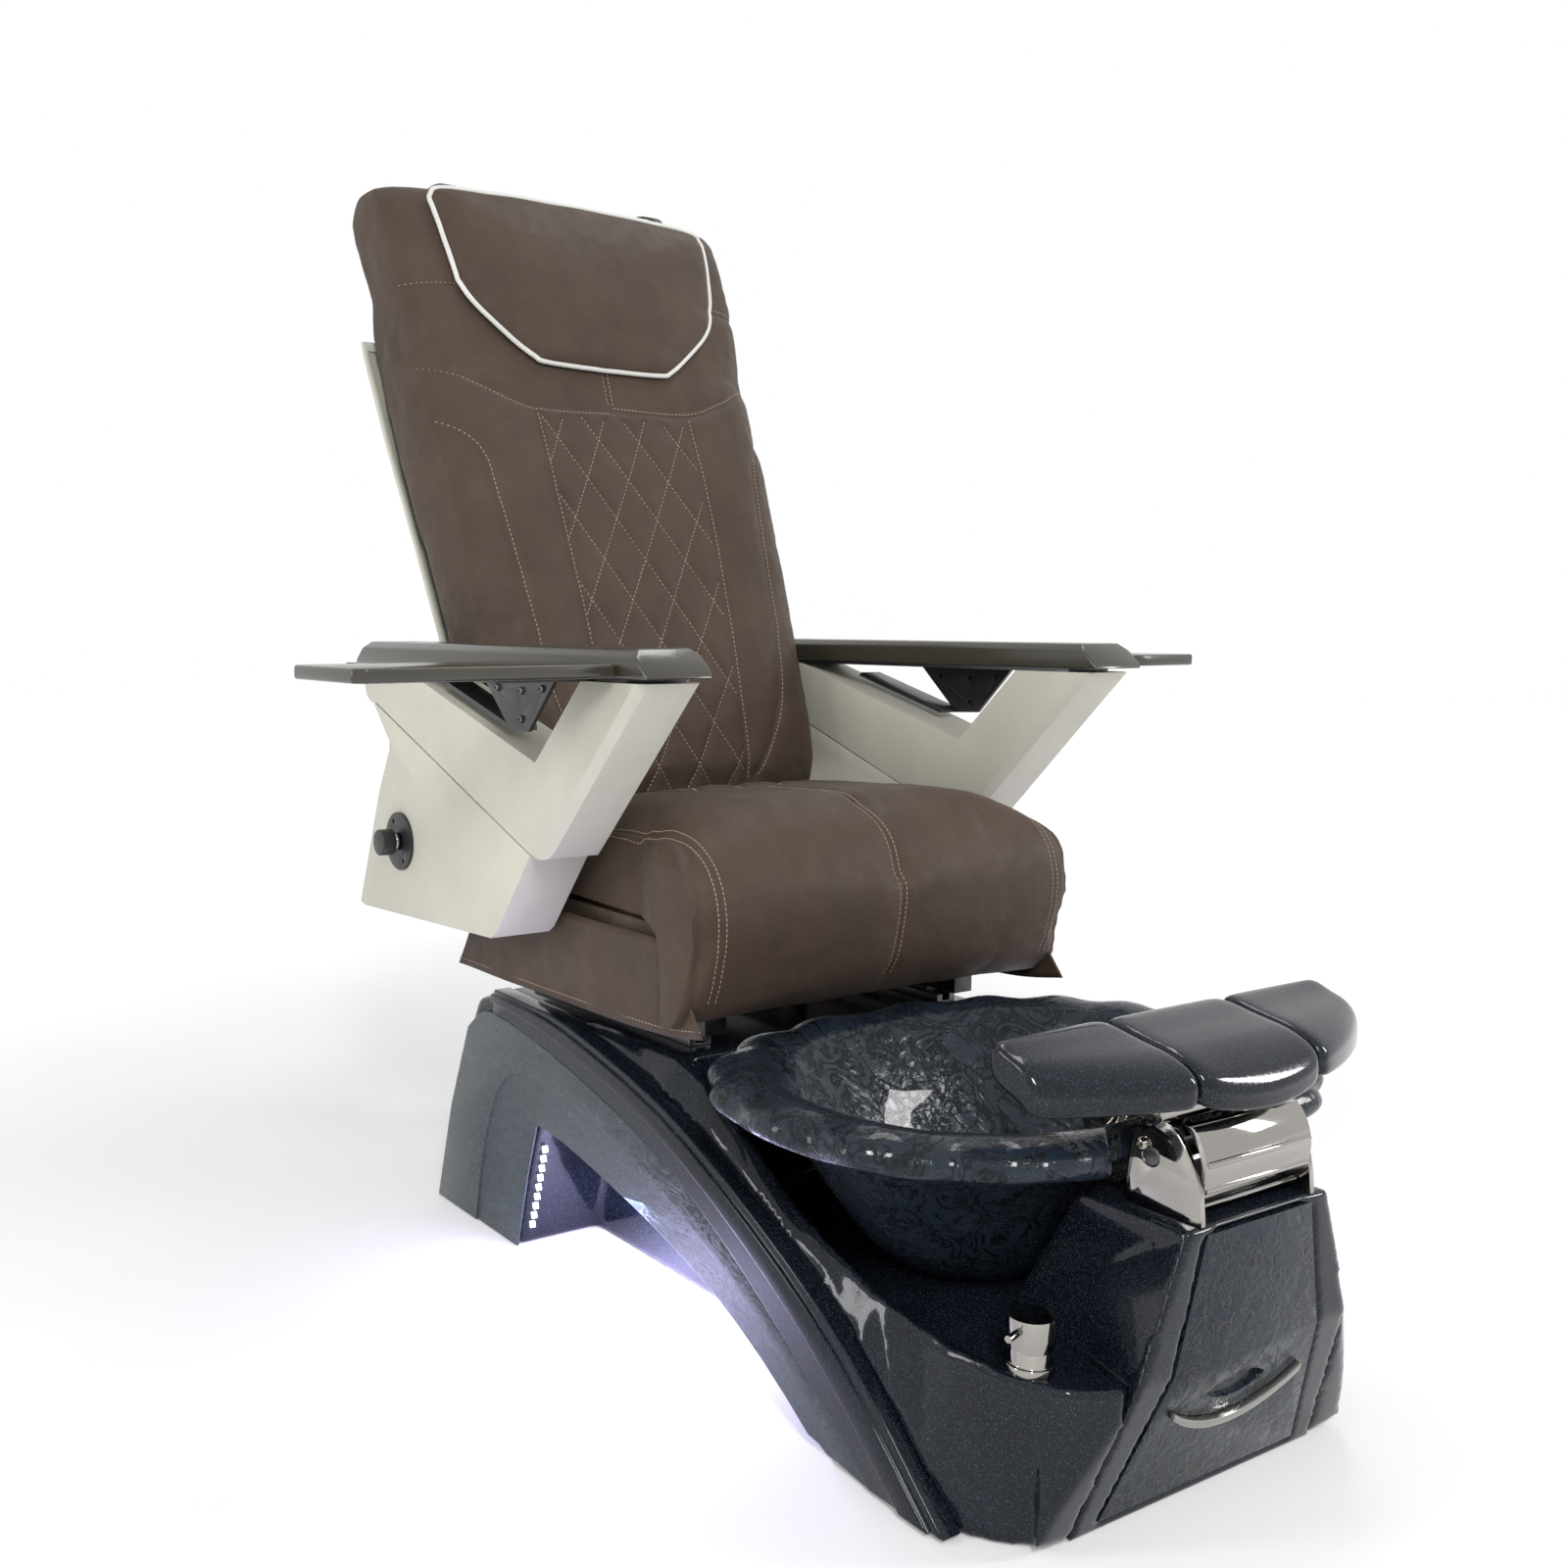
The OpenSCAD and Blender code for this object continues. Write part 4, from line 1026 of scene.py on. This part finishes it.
def make_basin():
    skin = smooth_line(BASIN_SKIN, 5)
    t = np.linspace(0, 2 * np.pi, BASIN_N, endpoint=False)
    rings = []
    for a, b, z, ripple in skin * MM:
        swell = ripple * np.cos(SCALLOPS * t)
        x = (a + swell) * signed_power(np.cos(t), BASIN_POWER)
        y = BASIN_Y + (b + swell) * signed_power(np.sin(t), BASIN_POWER)
        line = BASIN_FRONT - FRONT_STEP * rising(np.abs(x), 0.112, 0.046)
        y = np.where(y < line, line + FRONT_PRESS * (y - line), y)
        rings.append(np.stack([x, y, z + 0.5 * swell], axis=1))
    mesh = from_grid("basin_visual", np.array(rings))
    new_object("basin_visual", mesh, "base", "gelcoat_crackle", replaces=("basin",))


# The pads share a crescent: PADS_HALF from its middle to a tip, whose centre line lies
# PAD_SWEEP further back there, and whose half depth is PAD_TAPER less
PADS_HALF = 246 * MM
PAD_Y = -0.631
PAD_SWEEP = 0.033
PAD_DEPTH = 0.065
PAD_TAPER = 0.037
PAD_Z = 0.450
PAD_HALF_T = 0.024
PAD_TILT = 0.009
PAD_DISH = 0.010
PAD_POWER = 0.62
MIDDLE_PAD_HALF = 0.088
SIDE_PAD_START = 0.091


def pad_mesh(name, x0, x1):
    """A pad of the footrest with blunt ends, on the crescent that the pads share."""
    sides, slices = 64, 40
    t = np.linspace(0, 2 * np.pi, sides, endpoint=False)
    rings = []
    for s in 0.5 - 0.5 * np.cos(np.linspace(0, np.pi, slices)):
        end = abs(2 * s - 1)
        size = 0.80 + 0.20 * max(1 - end ** 14, 0.0) ** 0.45
        x = x0 + s * (x1 - x0)
        middle = PAD_Y + PAD_SWEEP * (abs(x) / PADS_HALF) ** 2
        depth = PAD_DEPTH - PAD_TAPER * (abs(x) / PADS_HALF) ** 2
        hang = 0.015 + 0.012 * max(0.0, 1 - (x / MIDDLE_PAD_HALF) ** 2)
        u = size * signed_power(np.cos(t), PAD_POWER)
        v = size * signed_power(np.sin(t), PAD_POWER)
        dish = np.where(v > 0, PAD_DISH * (1 - u ** 2), 0)
        droop = np.where(u < 0, hang * u ** 2, 0)
        z = PAD_Z + PAD_HALF_T * v + PAD_TILT * u - dish - droop
        rings.append(np.stack([np.full(sides, x), middle + depth * u, z], axis=1))
    return from_grid(name, np.array(rings))


def make_pads():
    for name, x0, x1 in (("left", SIDE_PAD_START, PADS_HALF),
                         ("middle", -MIDDLE_PAD_HALF, MIDDLE_PAD_HALF),
                         ("right", -PADS_HALF, -SIDE_PAD_START)):
        node = "footrest_pad_" + name
        pad = new_object(node + "_visual", pad_mesh(node, x0, x1), "footrest",
                         "gelcoat_dark", replaces=(node,))
        remesh(pad, 2.5, 4)


# ---------------------------------------------------------------- rigid pieces

# Radius and height of the steps of a bolt's head, from its rim to its socket's floor
BOLT_STEPS = ((1.0, 0), (1.0, 0.35), (0.9, 0.62), (0.62, 0.8), (0.45, 0.82), (0.42, 0.4))
# Width of the softened edges of each CAD node, in millimetres
SIDE_BEVELS = {"side_panel": 1.5, "arch_trim": 3.0, "arm_shell": 5.0, "arm_v": 5.0,
               "arm_cap": 2.5, "tray": 3.0, "arm_frame": 0.8, "release_plate": 1.0,
               "release_knob": 2.0}
BEVELS = {"led_strips": 0.8, "basin_drain": 1.0, "basin_jets": 2.0, "access_door": 2.0,
          "door_handle": 1.0, "tap_base": 1.2, "tap_knob": 2.0, "drain_knob": 2.5,
          "side_stub": 0.6, "footrest_cheeks": 1.2, "footrest_drum": 0.6,
          "footrest_shaft": 1.0, "footrest_arms": 0.8, "slide_rails": 0.6,
          "slide_shoes": 0.6, "seat_frame": 0.6, "seat_pan": 1.0, "arm_pivots": 0.6,
          "recline_pivots": 0.6, "back_frame": 0.6, "back_shell": 3.0,
          "massage_carriage": 1.5, "massage_rollers": 0, "recline_motor": 2.0,
          "recline_rod": 0.6}
# Bolts of the arm's gusset, as (y, z)
GUSSET_BOLTS = ((0.004, 0.776), (0.052, 0.738), (0.110, 0.774), (0.052, 0.772))


def bolt(name, place, out, radius, body, slot):
    """Domed bolt head with a round socket."""
    out = Vector(out)
    across = out.orthogonal().normalized()
    other = out.cross(across)
    rings = []
    for r, h in BOLT_STEPS:
        rings.append([Vector(place) + out * (h * radius) + (across * math.cos(a) + other
                      * math.sin(a)) * (r * radius)
                      for a in (math.pi * k / 9 for k in range(18))])
    mesh = from_grid(name, np.array(rings))
    mesh.set_sharp_from_angle(angle=math.radians(45))
    new_object(name, mesh, body, slot)


def make_rigid():
    mould("base_shell", 5, 14)
    mould("pedestal", 4, 4)
    for side in ("left", "right"):
        for node, bevel in SIDE_BEVELS.items():
            dress(f"{node}_{side}", bevel)
    for node, bevel in BEVELS.items():
        dress(node, bevel)


def make_fastenings():
    for side in (-1, 1):
        name = "left" if side > 0 else "right"
        for k, (y, z) in enumerate(GUSSET_BOLTS):
            bolt(f"gusset_bolt_{name}_{k}", (side * 0.3772, y, z), (side, 0, 0), 0.0045,
                 "arm_" + name, "grey_steel")
        stem = [(side * x, 0.367, 0.553) for x in (0.3915, 0.396, 0.4005)]
        tube(f"knob_stem_{name}", stem, 0.0124, "release_" + name, "chrome", sides=32)
        bolt(f"cheek_bolt_{name}", (side * 0.0862, -0.619, 0.362), (side, 0, 0), 0.007,
             "base", "chrome")


make_camera()
make_lights()
make_world()

backrest = make_backrest()
make_back_stitches(backrest)
make_pillow(backrest)
make_straps()
seat = make_seat()
make_seat_stitches(seat)
skirts = [make_skirt(side) for side in (-1, 1)]
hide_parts("seat_skirt")
make_basin()
make_pads()
make_rigid()
make_fastenings()

FLOOR_HALF = 14
FLOOR_Z = -0.001
floor_mesh = bpy.data.meshes.new("floor")
floor_mesh.from_pydata([(x * FLOOR_HALF, y * FLOOR_HALF, FLOOR_Z)
                        for x, y in ((-1, -1), (1, -1), (1, 1), (-1, 1))],
                       [], [(0, 1, 2, 3)])
floor = bpy.data.objects.new("floor", floor_mesh)
SCENE.collection.objects.link(floor)
floor_mesh.materials.append(floor_white())

SCENE.view_settings.view_transform = "Standard"
